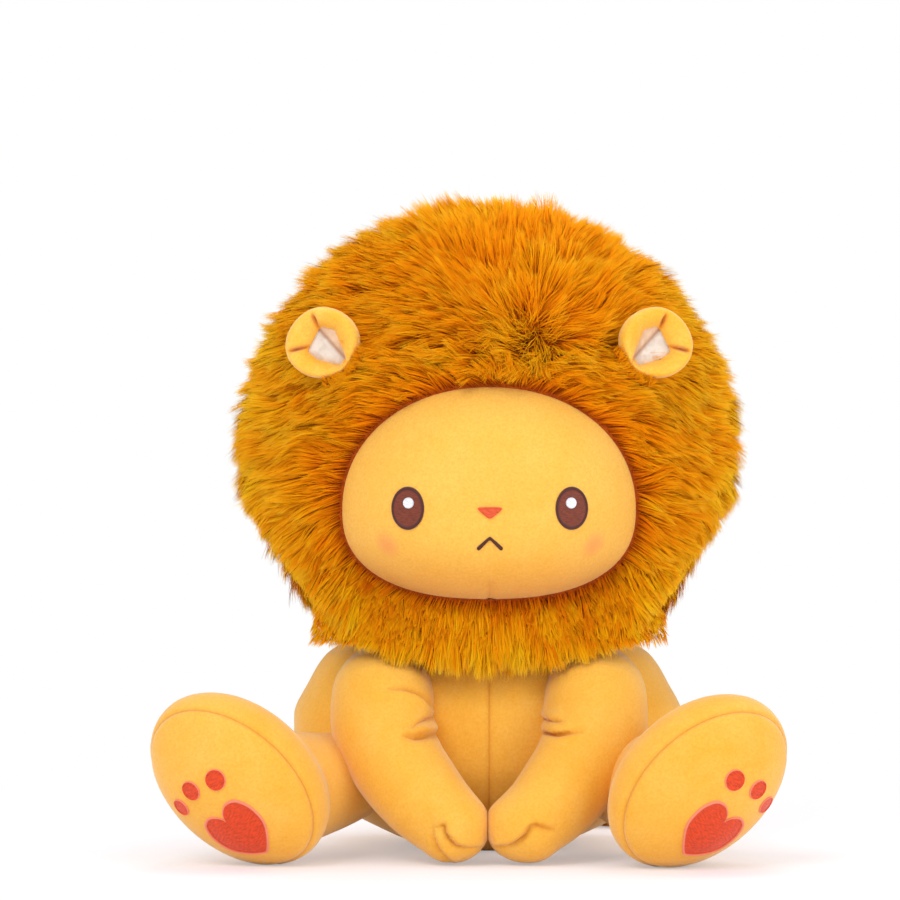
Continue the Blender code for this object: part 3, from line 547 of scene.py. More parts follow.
heart_line = closed_curve([(x, z) for x, z in HEART_HALF] + [(0.0, -0.505)]
                          + [(-x, z) for x, z in HEART_HALF[::-1]] + [(0.0, 0.30)], 150)
spokes = np.linspace(0, 2 * math.pi, 48, endpoint=False)
round_line = np.stack([np.cos(spokes), np.sin(spokes)], axis=-1)
red_thread = threaded("red_thread_fill", (224, 70, 24), (238, 138, 108), 0.925)
for word, (side, foot_middle) in FEET.items():
    toe, width, sole = foot_axes(side)
    shift_across, shift_up = PRINT_SHIFTS[word]
    crown = foot_middle + sole * FOOT_HALF[2] + width * shift_across + toe * shift_up
    heart_up = toe * math.cos(HEART_TURN) + width * math.sin(HEART_TURN)
    heart_across = width * math.cos(HEART_TURN) - toe * math.sin(HEART_TURN)
    place = crown - toe * HEART_LOWERING - width * HEART_SHIFT
    heart = stitched(f"heart_print_{word}", soles[word], place, heart_across * HEART_HALF_WIDTH,
                     heart_up * HEART_HEIGHT, sole, heart_line, 0.0009, 0.0007, red_thread, 0.925)
    facing_out(heart, sole)
    fasten(heart, f"leg_{word}", (f"heart_{word}",))
    for number, (across, along, wide, tall) in enumerate(TOE_PADS, 1):
        place = crown + width * FOOT_HALF[1] * across + toe * FOOT_HALF[0] * along
        pad = stitched(f"toe_print_{word}_{number}", soles[word], place, width * PAD_RADIUS * wide,
                       toe * PAD_RADIUS * tall, sole, round_line, 0.0009, 0.0006, red_thread, 0.80)
        facing_out(pad, sole)
        fasten(pad, f"leg_{word}", (f"toe_pad_{word}_{number}",))


# Arms
# Each arm is a stuffed velour tube, sewn on under the head, that bends down to a paw on the floor.
# It is stuffed loosely at the elbow, where the cloth folds, and stitched through for the fingers.

SHOULDER, PAW = np.array((0.0855, -0.092, 0.1265)), np.array((0.0305, -0.166, 0.0305))
ARM_RADIUS, PAW_RADIUS = 0.041, 0.0295
ARM_STATIONS = (
    (0.10, -1.10, -0.02, 0.10), (0.02, -0.45, -0.01, 0.03), (0.00, 0.00, 0.00, 0.00),
    (0.00, 0.17, 0.17, -0.05), (0.16, 0.43, 0.45, 0.22), (0.57, 0.74, 0.77, 0.52),
    (1.00, 1.00, 1.00, 1.00),
)
# Folds as seen from the front: the cloth swells on the left of each line and dips on its right.
# Places across and up, then the swelling, the dip and how far the swelling reaches
ARM_FOLDS = {
    "left": (
        (((-0.0440, 0.1150), (-0.0480, 0.1200), (-0.0533, 0.1265), (-0.0606, 0.1315), (-0.0697, 0.1346),
          (-0.0815, 0.1362)), 0.0056, 0.0044, 0.0100),
        (((-0.0640, 0.1045), (-0.0561, 0.1095), (-0.0506, 0.1120), (-0.0400, 0.1130)), 0.0000, 0.0046, 0.0060),
        (((-0.0700, 0.1016), (-0.0588, 0.0999), (-0.0515, 0.1005), (-0.0360, 0.1012)), 0.0062, 0.0046, 0.0080),
        (((-0.0449, 0.0312), (-0.0351, 0.0346), (-0.0338, 0.0272), (-0.0279, 0.0200), (-0.0189, 0.0162),
          (-0.0040, 0.0158)), 0.0050, 0.0036, 0.0110),
        (((-0.0449, 0.0330), (-0.0431, 0.0227), (-0.0386, 0.0138), (-0.0323, 0.0070), (-0.0270, 0.0020)),
         0.0036, 0.0030, 0.0090),
    ),
    "right": (
        (((0.0360, 0.1120), (0.0449, 0.1114), (0.0494, 0.1105), (0.0590, 0.1120)), 0.0044, 0.0038, 0.0085),
        (((0.0760, 0.1040), (0.0622, 0.1032), (0.0530, 0.1014), (0.0467, 0.1021), (0.0330, 0.1000)),
         0.0000, 0.0046, 0.0060),
        (((0.0330, 0.1000), (0.0467, 0.1021), (0.0530, 0.1014), (0.0660, 0.1034)), 0.0056, 0.0010, 0.0075),
        (((0.0010, 0.0160), (0.0148, 0.0180), (0.0254, 0.0250), (0.0300, 0.0325), (0.0358, 0.0348)),
         0.0050, 0.0036, 0.0110),
        (((0.0300, 0.0345), (0.0353, 0.0343), (0.0434, 0.0316), (0.0510, 0.0296)), 0.0022, 0.0026, 0.0070),
    ),
}
PAWS_MEET = -0.0018


def tuck(piece, seen, facing, line, swelling, dip, reach):
    """Fold the cloth over along a line; seen is where each point lies across and up, as the line is given."""
    points, normals, corners = points_of(piece), normals_of(piece), np.array(line)
    marks, fine = np.linspace(0, 1, len(corners)), np.linspace(0, 1, 6 * len(corners))
    weights = np.exp(-((fine[:, None] - marks[None, :]) * (len(corners) - 1) / 0.62) ** 2)
    line = weights @ corners / weights.sum(1, keepdims=True)
    nearest, signed, place = np.full(len(points), 9.0), np.zeros(len(points)), np.zeros(len(points))
    for number, (start, end) in enumerate(zip(line[:-1], line[1:])):
        along = end - start
        share = np.clip((seen - start) @ along / (along @ along), 0, 1)
        off = seen - start - share[:, None] * along
        way = np.linalg.norm(off, axis=1)
        closer = way < nearest
        left = np.sign(along[0] * off[:, 1] - along[1] * off[:, 0])
        nearest = np.where(closer, way, nearest)
        signed = np.where(closer, way * left, signed)
        place = np.where(closer, (number + share) / (len(line) - 1), place)
    fade = np.sin(np.pi * np.clip(place, 0, 1)) ** 0.7 * np.clip(0.8 + (normals @ facing) * 2.0, 0, 1)
    swollen = np.where(signed > 0, swelling * np.exp(-(np.maximum(signed, 0) / reach) ** 1.3), 0)
    dipped = np.exp(-(signed / np.where(signed > 0, 0.0014, 0.0034)) ** 2) * dip
    move_points(piece, points + normals * ((swollen - dipped) * fade)[:, None])
    # Painted shade along the fold line: marked in the crease attribute for the cloth to darken there.
    shade_in(piece, (0.45 * np.exp(-(nearest / 0.0012) ** 2) + 0.30 * np.exp(-(nearest / 0.0040) ** 2)) * fade)


arm_velour = velour("arm_velour")
arms = {}
for word, (side, _) in FEET.items():
    way = (PAW - SHOULDER) * (side, 1, 1)
    stations = [(SHOULDER * (side, 1, 1) + way * (inward, forward, down),
                 ARM_RADIUS + (PAW_RADIUS - ARM_RADIUS) * taper)
                for inward, forward, down, taper in ARM_STATIONS]
    rows = stuffed_tube(stations, around=120, ends=16)
    arm = cut_cloth(f"arm_cover_{word}", rows.reshape(-1, 3), rows_joined(*rows.shape[:2]), arm_velour)
    remeshed(arm, 0.0028, 3)
    spots = points_of(arm)
    swell(arm, np.where(spots[:, 1] > -0.06, 1.0, 0.0), 0.0025, 2.0)
    spots = points_of(arm)
    near = np.clip((0.062 - spots[:, 2]) / 0.018, 0, 1) * np.clip((0.032 - side * spots[:, 0]) / 0.022, 0, 1)
    spots[:, 0] -= side * (0.0030 + side * -PAWS_MEET) * near * np.clip(-(spots[:, 1] + 0.115) / 0.03, 0, 1)
    move_points(arm, spots)
    finer(arm)
    for fold in ARM_FOLDS[word]:
        tuck(arm, points_of(arm)[:, [0, 2]], np.array((0, -1, 0)), *fold)
    spots = points_of(arm)
    spots[:, 2] = np.clip(spots[:, 2], 0.0004, SHOULDERS - 0.0005)
    spots[:, 0] = PAWS_MEET + side * np.maximum(side * (spots[:, 0] - PAWS_MEET), 0.0003)
    move_points(arm, spots)
    fasten(arm, None, (f"arm_skin_{word}", f"arm_filling_{word}"))
    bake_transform(arm)
    arms[word] = arm


# Face
# One velour panel, crowned over the stuffing and sewn into the mane all round, with a dart at the chin.
# The cheeks are blushed, and the cloth turns in under the pile at its edge.

HEAD_MIDDLE = np.array((0, 0.005, 0.321))
HEAD_CORE = np.array((0.184, 0.128, 0.186))
FACE_MIDDLE = np.array((0, -0.155, 0.276))
FACE_HALF_WIDTH, FACE_RISE, FACE_DROP = 0.118, 0.099, 0.0705
RISE_POWER, DROP_POWER, CROWN_POWER = 2.1, 2.42, 3.2


def face_share(x, z):
    """How far out a place lies from the middle of the face (0) to its seam (1)."""
    power = np.where(z > FACE_MIDDLE[2], RISE_POWER, DROP_POWER)
    height = np.where(z > FACE_MIDDLE[2], FACE_RISE, FACE_DROP)
    return (np.abs(x / FACE_HALF_WIDTH) ** power + np.abs((z - FACE_MIDDLE[2]) / height) ** power) ** (1 / power)


def face_depth(x, z):
    """How far forward the face lies at a place."""
    share = np.maximum(face_share(x, z), 1e-6)
    edge_x, edge_z = (x / share / HEAD_CORE[0],
                      ((z - FACE_MIDDLE[2]) / share + FACE_MIDDLE[2] - HEAD_MIDDLE[2]) / HEAD_CORE[2])
    edge = HEAD_MIDDLE[1] - HEAD_CORE[1] * np.sqrt(np.maximum(1 - edge_x ** 2 - edge_z ** 2, 0))
    return FACE_MIDDLE[1] + (edge - FACE_MIDDLE[1]) * share ** CROWN_POWER


def face_cloth():
    """The face's velour, with a blush on each cheek."""
    cloth = velour("face_velour", pale=(252, 200, 92), deep=(248, 190, 74), sheen=0.5)
    colour = cloth.node_tree.nodes["Principled BSDF"].inputs["Base Color"].links[0].from_socket
    nodes, links = cloth.node_tree.nodes, cloth.node_tree.links
    place = nodes.new("ShaderNodeAttribute")
    place.attribute_name = "cut"
    for x in (-0.0815, 0.0830):
        off = nodes.new("ShaderNodeVectorMath")
        off.operation = "DISTANCE"
        off.inputs[1].default_value = (x, float(face_depth(np.array(x), np.array(0.2495))), 0.2495)
        links.new(place.outputs["Vector"], off.inputs[0])
        share = nodes.new("ShaderNodeMapRange")
        share.interpolation_type = "SMOOTHSTEP"
        for key, value in (("From Min", 0.0), ("From Max", 0.0165), ("To Min", 0.62), ("To Max", 0.0)):
            share.inputs[key].default_value = value
        links.new(off.outputs["Value"], share.inputs["Value"])
        blush = nodes.new("ShaderNodeMix")
        blush.data_type = "RGBA"
        links.new(share.outputs[0], blush.inputs[0])
        links.new(colour, blush.inputs[6])
        blush.inputs[7].default_value = dye(246, 150, 92)
        colour = blush.outputs[2]
    links.new(colour, nodes["Principled BSDF"].inputs["Base Color"])
    return cloth


turn = np.linspace(0, 2 * math.pi, 220, endpoint=False)
across, rise = np.cos(turn), np.sin(turn)
power = np.where(rise > 0, RISE_POWER, DROP_POWER)
reach = (np.abs(across) ** power + np.abs(rise) ** power) ** (-1 / power)
seam_x, seam_z = FACE_HALF_WIDTH * across * reach, np.where(rise > 0, FACE_RISE, FACE_DROP) * rise * reach
rows = []
for share in np.concatenate([np.linspace(0, 0.9, 34), np.linspace(0.915, 1.0, 14)]):
    x, z = seam_x * share, seam_z * share + FACE_MIDDLE[2]
    rows.append(np.stack([x, face_depth(x, z), z], axis=-1))
for inward, back in ((0.998, 0.005), (0.985, 0.010), (0.96, 0.014), (0.90, 0.017)):
    row = rows[47] * (inward, 1, 1) + (0, back, 0)
    row[:, 2] = (rows[47][:, 2] - FACE_MIDDLE[2]) * inward + FACE_MIDDLE[2]
    rows.append(row)
face_rows = np.array(rows)
face = cut_cloth("face_cloth", face_rows.reshape(-1, 3), rows_joined(*face_rows.shape[:2]), face_cloth())
spots = points_of(face)
dart = np.hypot(np.abs(spots[:, 0] - 0.001) * 1.0, np.maximum(spots[:, 2] - 0.2185, 0) * 0.8)
draw_in(face, np.where(spots[:, 2] < 0.235, dart, 1.0), 0.0010, 0.0022, 0.2, 0.4)
fasten(face, "head", ("face_panel",))


# Eyes, nose and mouth
# Satin stitch over the face's velour: brown eyes in a darker raised edge, each with a white glint,
# a small coral nose with a pale upper edge, and a mouth of two short strokes.

eye_thread = threaded("brown_eye_thread", (122, 56, 36), (78, 36, 34), 0.84, shine=0.5)
glint_thread = threaded("white_glint_thread", (242, 246, 250), (226, 234, 244), 0.9)
coral_thread = threaded("coral_nose_thread", (226, 88, 48), (232, 104, 66), 0.92)
mouth_thread = threaded("dark_mouth_thread", (84, 42, 32), (70, 34, 28), 0.9)
AHEAD = np.array((0.0, -1.0, 0.0))
for word, side in (("left", -1), ("right", 1)):
    place = FACE_MIDDLE + (side * 0.0646, 0, 0.003)
    eye = stitched(f"eye_oval_{word}", face, place, (0.0129, 0, 0), (0, 0, 0.0171), AHEAD, round_line, 0.0010,
                   0.0007, eye_thread, 0.84)
    facing_out(eye, AHEAD)
    fasten(eye, "head", (f"eye_{word}",))
    spot = place + (-side * 0.0010, 0, 0.0042)
    glint = stitched(f"eye_glint_{word}", face, spot, (0.0040, 0, 0), (0, 0, 0.0043), AHEAD, round_line, 0.0021,
                     0.0002, glint_thread)
    facing_out(glint, AHEAD)
    fasten(glint, "head", (f"eye_highlight_{word}",))

nose_line = closed_curve([(-0.86, 0.95), (0.0, 1.0), (0.86, 0.95), (1.0, 0.60), (0.55, -0.25), (0.0, -0.95),
                          (-0.55, -0.25), (-1.0, 0.60)], 60)
nose = stitched("nose_patch", face, FACE_MIDDLE + (0, 0, -0.0006), (0.0095, 0, 0), (0, 0, 0.0047), AHEAD,
                nose_line, 0.0012, 0.0003, coral_thread)
facing_out(nose, AHEAD)
fasten(nose, "head", ("nose",))

mouth_line = []
for x, z in ((-1.0, -0.62), (-0.55, -0.20), (-0.12, 0.16), (0.0, 0.22), (0.12, 0.16), (0.55, -0.20), (1.0, -0.62),
             (0.96, -0.82), (0.80, -0.80), (0.40, -0.40), (0.0, -0.06), (-0.40, -0.40), (-0.80, -0.80), (-0.96, -0.82)):
    mouth_line.append((x, z))
mouth = stitched("mouth_strokes", face, FACE_MIDDLE + (0, 0, -0.0215), (0.0100, 0, 0), (0, 0, 0.0100), AHEAD,
                 closed_curve(mouth_line, 84), 0.0010, 0.0, mouth_thread)
facing_out(mouth, AHEAD)
fasten(mouth, "head", ("mouth",))


# Mane
# Long-pile plush sewn round the face and over the back of the head, brushed out from a whorl at
# the top right. The woven backing is deep orange, painted as dark as the shade at the bottom of the pile; the pile on
# it goes from rust to gold at the tips, with painted shade darkening the roots and a painted glow of light on the tips.

WHORL = np.array((0.029, -0.10, 0.417))
PILE_LENGTH, PILE_STRANDS = 0.034, 330000
BACK_DEPTH = 0.118
stitcher = np.random.default_rng(11)


def waves(points, length, seed, count=18):
    """A smooth random value from about -1 to 1 at each point, which changes over a given length."""
    chance = np.random.default_rng(seed)
    total = np.zeros(len(points))
    for _ in range(count):
        way = chance.normal(size=3)
        way *= 2 * math.pi / (length * chance.uniform(0.8, 1.8)) / np.linalg.norm(way)
        total += np.sin(points @ way + chance.uniform(0, 2 * math.pi))
    return total / math.sqrt(count / 2) / 1.6


def unit(ways):
    return ways / np.maximum(np.linalg.norm(ways, axis=-1, keepdims=True), 1e-9)


def laid_along(ways, normals):
    """Directions turned down onto the cloth."""
    return unit(ways - (ways * normals).sum(-1, keepdims=True) * normals)


def head_roots(count, seed):
    """Evenly spread places on the mane's backing, and the way out of it at each."""
    chance = np.random.default_rng(seed)
    step = np.arange(count) + 0.5
    height = 1 - 2 * step / count
    turn = step * math.pi * (3 - math.sqrt(5)) + chance.uniform(-0.4, 0.4, count)
    around = np.sqrt(1 - height ** 2)
    ways = np.stack([around * np.cos(turn), height, around * np.sin(turn)], axis=-1)
    ways = unit(ways + chance.normal(scale=0.5 / math.sqrt(count / 12), size=ways.shape) * 0.6)
    half = np.stack([np.full(count, HEAD_CORE[0]), np.where(ways[:, 1] < 0, HEAD_CORE[1], BACK_DEPTH),
                     np.full(count, HEAD_CORE[2])], axis=-1)
    return HEAD_MIDDLE + ways * half, unit(ways / half)


def pile_flow(roots, out):
    """The way the pile lies at each root, how close it is to the face, and how ruffled it is round the whorl and just
    above the face.
    """
    share = face_share(roots[:, 0], roots[:, 2])
    front = roots[:, 1] < 0.02
    from_face = np.where(front, np.clip((share - 1) * 0.10, 0, 1), 1.0)
    flow = laid_along(roots - WHORL, out)
    away = laid_along(roots - (FACE_MIDDLE + (0, 0.05, 0)), out)
    down = laid_along(np.tile((0.0, 0.0, -1.0), (len(roots), 1)), out)
    by_face = np.exp(-(from_face / 0.022) ** 2)[:, None]
    low = np.clip((0.30 - roots[:, 2]) / 0.12, 0, 1)[:, None]
    behind = np.clip((roots[:, 1] + 0.02) / 0.08, 0, 1)[:, None]
    flow = unit(flow + away * by_face * 1.6 + down * (0.22 + 0.55 * low + 0.9 * behind))
    by_whorl = np.exp(-(np.linalg.norm(roots - WHORL, axis=1) / 0.030) ** 2)
    matted = np.exp(-((roots[:, 0] - 0.010) / 0.075) ** 2 - ((roots[:, 2] - 0.392) / 0.020) ** 2) * front
    swing = 0.42 * waves(roots, 0.055, 3) + 0.26 * waves(roots, 0.016, 4)
    swing += (1.1 * by_whorl + 0.9 * matted) * waves(roots, 0.010, 14)
    flow = unit(flow * np.cos(swing)[:, None] + np.cross(out, flow) * np.sin(swing)[:, None])
    lost = np.exp(-(np.linalg.norm(roots - WHORL, axis=1) / 0.016) ** 2)[:, None]
    flow = unit(flow * (1 - 0.9 * lost) + laid_along(np.random.default_rng(15).normal(size=roots.shape), out) * lost)
    return flow, from_face, np.maximum(by_whorl, 0.6 * matted)


def clumped(roots, tips, spacing, pull, stray, seed):
    """Tips drawn together into tufts round some of the roots; each tuft strays a little to one side."""
    chance = np.random.default_rng(seed)
    count = max(int(0.42 / spacing ** 2), 8)
    chosen = chance.choice(len(roots), min(count, len(roots)), replace=False)
    tree = KDTree(len(chosen))
    for order, index in enumerate(chosen):
        tree.insert(roots[index], order)
    tree.balance()
    nearest = chosen[np.array([tree.find(root)[1] for root in roots.tolist()])]
    strength = pull * chance.uniform(0.5, 1.15, len(roots))[:, None]
    aside = (chance.normal(scale=stray, size=(len(roots), 3)))[nearest]
    return (tips[nearest] - tips) * strength + aside, nearest


def outside_body(points):
    """Strands that hang below the shoulders lie on the arms and the chest, not in them."""
    points = points.copy()
    for side in (-1, 1):
        for middle, size in (((side * 0.0855, -0.092, 0.1265), 0.0435), ((side * 0.0855, -0.1046, 0.1102), 0.0440)):
            centre = np.stack([np.full(len(points), middle[0]), np.clip(points[:, 1], middle[1], 0.0),
                               np.full(len(points), middle[2])], axis=-1)
            off = points - centre
            way = np.linalg.norm(off, axis=1)
            inside = (way < size) & (points[:, 1] < -0.005)
            points[inside] = centre[inside] + unit(off[inside] + (0, -1e-5, 0)) * size
    low = (points[:, 2] < SHOULDERS) & (points[:, 1] < 0.02)
    share = np.hypot(points[:, 0] / 0.146, points[:, 1] / 0.105)
    inside = low & (share < 1) & (share > 0.3)
    points[inside, :2] /= share[inside, None]
    return points


def trimmed(line, ragged):
    """Hanging strands cut off unevenly along the mane's lower edge, which is an arch over the chest."""
    drop = line[:, 0, 2] - line[:, 3, 2]
    aside = np.abs(line[:, 3, 0])
    room = line[:, 0, 2] - (0.142 + 2.1 * aside ** 2 + 0.5 * np.maximum(aside - 0.115, 0)) - ragged
    share = np.where((drop > 1e-4) & (line[:, 0, 1] < 0.03), np.clip(room / np.maximum(drop, 1e-4), 0.25, 1), 1)
    return line[:, :1] + (line - line[:, :1]) * share[:, None, None]


def toward_light(out):
    """Pile takes the light softly, so its shading faces the front more than its backing does."""
    pull = np.clip(0.6 - out[:, 1], 0, 1)[:, None]
    return unit(out * (1, 1, 0.6) + pull * np.array((0.0, -0.8, 0.0)))


def strands(name, points, out, lit, wide, tone, twist, finish, body):
    """Flat fibres, each a tapering ribbon of four cross rows; tone says how golden it is."""
    count = len(points)
    ahead = unit(np.gradient(points, axis=1))
    flat = unit(np.cross(ahead, out[:, None, :]))
    edge = unit(np.cross(ahead, flat))
    side = flat * np.cos(twist)[:, None, None] + edge * np.sin(twist)[:, None, None]
    taper = np.array((1.0, 0.95, 0.70, 0.14))
    half = side * (wide[:, None] * taper * 0.5)[..., None]
    both = np.stack([points - half, points + half], axis=2).reshape(-1, 3)
    base = (np.arange(count) * 8)[:, None]
    quads = (base + np.array([[0, 1, 3, 2, 2, 3, 5, 4, 4, 5, 7, 6]])).reshape(-1, 4)
    mesh = bpy.data.meshes.new(name)
    mesh.vertices.add(len(both))
    mesh.vertices.foreach_set("co", both.ravel())
    mesh.loops.add(quads.size)
    mesh.loops.foreach_set("vertex_index", quads.ravel().astype(np.int32))
    mesh.polygons.add(len(quads))
    mesh.polygons.foreach_set("loop_start", np.arange(0, quads.size, 4, dtype=np.int32))
    mesh.update(calc_edges=True)
    mesh.validate()
    along = np.tile(np.repeat(np.linspace(0.02, 0.98, 4), 2), count)
    shade = np.repeat(tone, 8) + np.tile((-0.004, 0.004), count * 4)
    chart = mesh.uv_layers.new(name="OFBake")
    corner = np.zeros(len(mesh.loops), dtype=np.int32)
    mesh.loops.foreach_get("vertex_index", corner)
    chart.data.foreach_set("uv", np.stack([along[corner], np.clip(shade[corner], 0.01, 0.99)], axis=-1).ravel())
    mesh.shade_smooth()
    face_up = unit(lit[:, None, :] + np.cross(side, ahead) * 0.22 + ahead * 0.30)
    mesh.normals_split_custom_set_from_vertices(np.repeat(face_up, 2, axis=1).reshape(-1, 3).tolist())
    piece = bpy.data.objects.new(name, mesh)
    bpy.context.scene.collection.objects.link(piece)
    mesh.materials.append(finish)
    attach(piece, body)
    return piece


def pile_finish():
    """Plush fibre: orange along its length, with painted shade making it dark rust at the root and a painted glow of
    light making it gold at the tip.
    """
    fibre = Finish("mane_pile_fibre", 0.8)
    fibre.shader.inputs["Specular IOR Level"].default_value = 0.06
    place = fibre.add("UVMap", {"uv_map": "OFBake"}).outputs["UV"]
    parts = fibre.add("SeparateXYZ", (), {"Vector": place})
    along, tone = parts.outputs["X"], parts.outputs["Y"]
    deep = fibre.ramp(along, [(0.0, dye(192, 78, 0)), (0.45, dye(243, 126, 0)), (0.8, dye(254, 150, 0)),
                              (1.0, dye(255, 168, 6))])
    gold = fibre.ramp(along, [(0.0, dye(220, 116, 0)), (0.45, dye(255, 184, 6)), (0.8, dye(255, 208, 20)),
                              (1.0, dye(255, 226, 64))])
    return fibre.end(fibre.mix(tone, deep, gold))


def backing_finish():
    """The woven backing under the pile, painted as dark as the roots, which stands for the shade at the bottom of the
    pile.
    """
    cloth = Finish("mane_backing_weave", 0.9)
    place = cloth.mark("cut")
    speckle = cloth.noise(place, 380.0, 3.0, 0.6)
    colour = cloth.ramp(speckle, [(0.3, dye(140, 50, 0)), (0.7, dye(190, 84, 0))])
    return cloth.end(colour, cloth.bump(speckle, 0.8, 0.003))


def backing_rows():
    """The backing from the face's seam, round the sides and closed behind and below."""
    table = []
    edge = rows_at_seam
    middle = HEAD_MIDDLE
    ways = unit((edge - middle) / HEAD_CORE)
    wide = unit(ways * (1, 0, 1))
    start = np.arccos(np.clip((ways * wide).sum(-1), -1, 1))
    for share in np.concatenate([np.linspace(0, 1, 26), np.linspace(1.03, 2.0, 30)]):
        angle = np.where(share <= 1, start * (share - 1), math.pi / 2 * (share - 1))[:, None]
        way = wide * np.cos(angle) + np.array((0, 1, 0)) * np.sin(angle)
        half = np.stack([np.full(len(way), HEAD_CORE[0]), np.where(way[:, 1] < 0, HEAD_CORE[1], BACK_DEPTH),
                         np.full(len(way), HEAD_CORE[2])], axis=-1)
        table.append(middle + way * half)
    return np.array(table)


rows_at_seam = np.stack([seam_x, face_depth(seam_x, seam_z + FACE_MIDDLE[2]), seam_z + FACE_MIDDLE[2]], axis=-1)
backing_table = backing_rows()
backing = cut_cloth("mane_backing", backing_table.reshape(-1, 3), rows_joined(*backing_table.shape[:2]),
                    backing_finish())
spots = points_of(backing)
spots[:, 2] = np.maximum(spots[:, 2], SHOULDERS + 0.0005)
move_points(backing, spots)
fasten(backing, "head", ("mane_front", "mane_chin", "mane_back", "head_filling"))

mane_fibre = pile_finish()
roots, out = head_roots(PILE_STRANDS, 5)
keep = (roots[:, 2] > SHOULDERS + 0.002) & ((roots[:, 1] > 0.0) | (face_share(roots[:, 0], roots[:, 2]) > 1.012))
roots, out = roots[keep], out[keep]
flow, from_face, ruffled = pile_flow(roots, out)
count = len(roots)
short = 0.55 + 0.45 * np.clip(from_face / 0.022, 0, 1)
chin = np.clip((0.225 - roots[:, 2]) / 0.035, 0, 1) * np.clip((0.01 - roots[:, 1]) / 0.05, 0, 1)
length = PILE_LENGTH * short * (1 + 0.16 * waves(roots, 0.020, 8)) * stitcher.uniform(0.78, 1.12, count)
length *= 1 + chin * (0.62 - 0.45 * np.clip(np.abs(roots[:, 0]) / 0.13, 0, 1))
ear_foot = np.array((0.118, -0.098, 0.372))
by_ear = sum(np.exp(-(np.linalg.norm(roots - ear_foot * (side, 1, 1), axis=1) / 0.020) ** 2) for side in (-1, 1))
by_outline = np.clip(1 - np.abs(out[:, 1]) / 0.5, 0, 1)
start_tilt = math.radians(22) + math.radians(14) * stitcher.uniform(-1, 1, count)
end_tilt = np.radians(74 - 12 * by_outline) + math.radians(16) * stitcher.uniform(-1, 1, count)
end_tilt *= 1 - 0.15 * ruffled - 0.45 * by_ear
line = np.zeros((count, 4, 3))
line[:, 0] = roots
over_arm = np.exp(-((np.abs(roots[:, 0]) - 0.0855) / 0.040) ** 2)
lean = 0.16 * waves(roots, 0.030, 12) + 0.14 * waves(roots, 0.010, 13)
hang = unit(np.stack([out[:, 0] * 0.4 + lean, -0.42 - 0.55 * over_arm, np.full(count, -1.0)], axis=-1))
for step in range(1, 4):
    tilt = start_tilt + (end_tilt - start_tilt) * (step - 0.5) / 3
    way = out * np.cos(tilt)[:, None] + flow * np.sin(tilt)[:, None]
    share = (chin * (0.25, 0.70, 0.95)[step - 1])[:, None]
    line[:, step] = outside_body(line[:, step - 1] + (length / 3)[:, None] * unit(way * (1 - share) + hang * share))
bend = unit(stitcher.normal(size=(count, 3))) * (length * 0.10)[:, None]
line += bend[:, None, :] * np.array((0.0, 0.1, 0.45, 1.0))[:, None]
for spacing, pull, stray, seed in ((0.0090, 0.50, 0.0022, 21), (0.0038, 0.42, 0.0010, 22)):
    shift, tuft_of = clumped(roots, line[:, 3], spacing, pull, stray, seed)
    line += shift[:, None, :] * np.array((0.0, 0.12, 0.50, 1.0))[:, None]
for step in range(1, 4):
    line[:, step] = outside_body(line[:, step])
line = trimmed(line, 0.004 * waves(roots, 0.012, 15) + stitcher.uniform(0, 0.007, count))
# Painted light: edge_glow makes the pile more golden towards the outline, a painted glow of light through the fibres
# there.
edge_glow = np.clip((roots[:, 0] ** 2 + (roots[:, 2] - 0.321) ** 2) ** 0.5 / 0.19, 0, 1) ** 3
lit = unit(out * (1 - 0.75 * chin)[:, None] + chin[:, None] * np.array((0.0, -0.75, 0.22)))
# Painted light and shade in the tone: more golden low down and round the whorl as painted light, deeper on top at the
# front and next to the face seam as painted shade; the waves and the tuft and strand noise are the pile's own uneven
# colour.
tone = 0.10 + 0.50 * edge_glow + 0.22 * np.clip((0.32 - roots[:, 2]) / 0.14, 0, 1) + 0.14 * waves(roots, 0.030, 9)
tone -= 0.24 * np.clip((roots[:, 2] - 0.40) / 0.06, 0, 1) * np.clip((0.02 - roots[:, 1]) / 0.06, 0, 1)
tone += 0.10 * stitcher.normal(size=count)[tuft_of] + 0.16 * ruffled
tone = np.clip(tone - 0.18 * np.exp(-(from_face / 0.018) ** 2) + stitcher.normal(scale=0.10, size=count), 0.02, 0.98)
thick = 0.00058 * stitcher.uniform(0.7, 1.25, count)
twist = stitcher.normal(scale=0.9, size=count)
lit = toward_light(lit)
parts = 10
for number in range(parts):
    pick = np.arange(number, count, parts)
    strands(f"mane_pile_{number + 1}", line[pick], out[pick], lit[pick], thick[pick], tone[pick], twist[pick],
            mane_fibre, "head")


fringe = np.random.default_rng(41)
many = 26000
across, down = 0.136 * (2 * fringe.random(many) - 1), fringe.random(many)
low_seam = rows_at_seam[rows_at_seam[:, 2] < FACE_MIDDLE[2] - 0.02]
low_seam = low_seam[np.argsort(low_seam[:, 0])]
over_arm = np.exp(-((np.abs(across) - 0.0855) / 0.040) ** 2)
high = np.minimum(np.interp(across, low_seam[:, 0], low_seam[:, 2]) - 0.005, 0.236)
bulge = np.sqrt(np.clip(1 - (across / HEAD_CORE[0]) ** 2 - ((high - HEAD_MIDDLE[2]) / HEAD_CORE[2]) ** 2, 0.02, 1))
start = np.stack([across, HEAD_MIDDLE[1] - HEAD_CORE[1] * bulge, high], axis=-1)
far = np.clip((np.abs(across) - 0.11) / 0.026, 0, 1)
end = np.stack([across * 1.04, -0.107 - 0.013 * over_arm + 0.028 * far, np.full(many, 0.173)], axis=-1)
spots = start + (end - start) * down[:, None]
spots_out = unit(np.stack([across * 4, np.full(many, -1.0), np.full(many, -0.2)], axis=-1))
lean = 4.2 * across + 0.20 * waves(spots, 0.024, 42) + 0.16 * waves(spots, 0.008, 43)
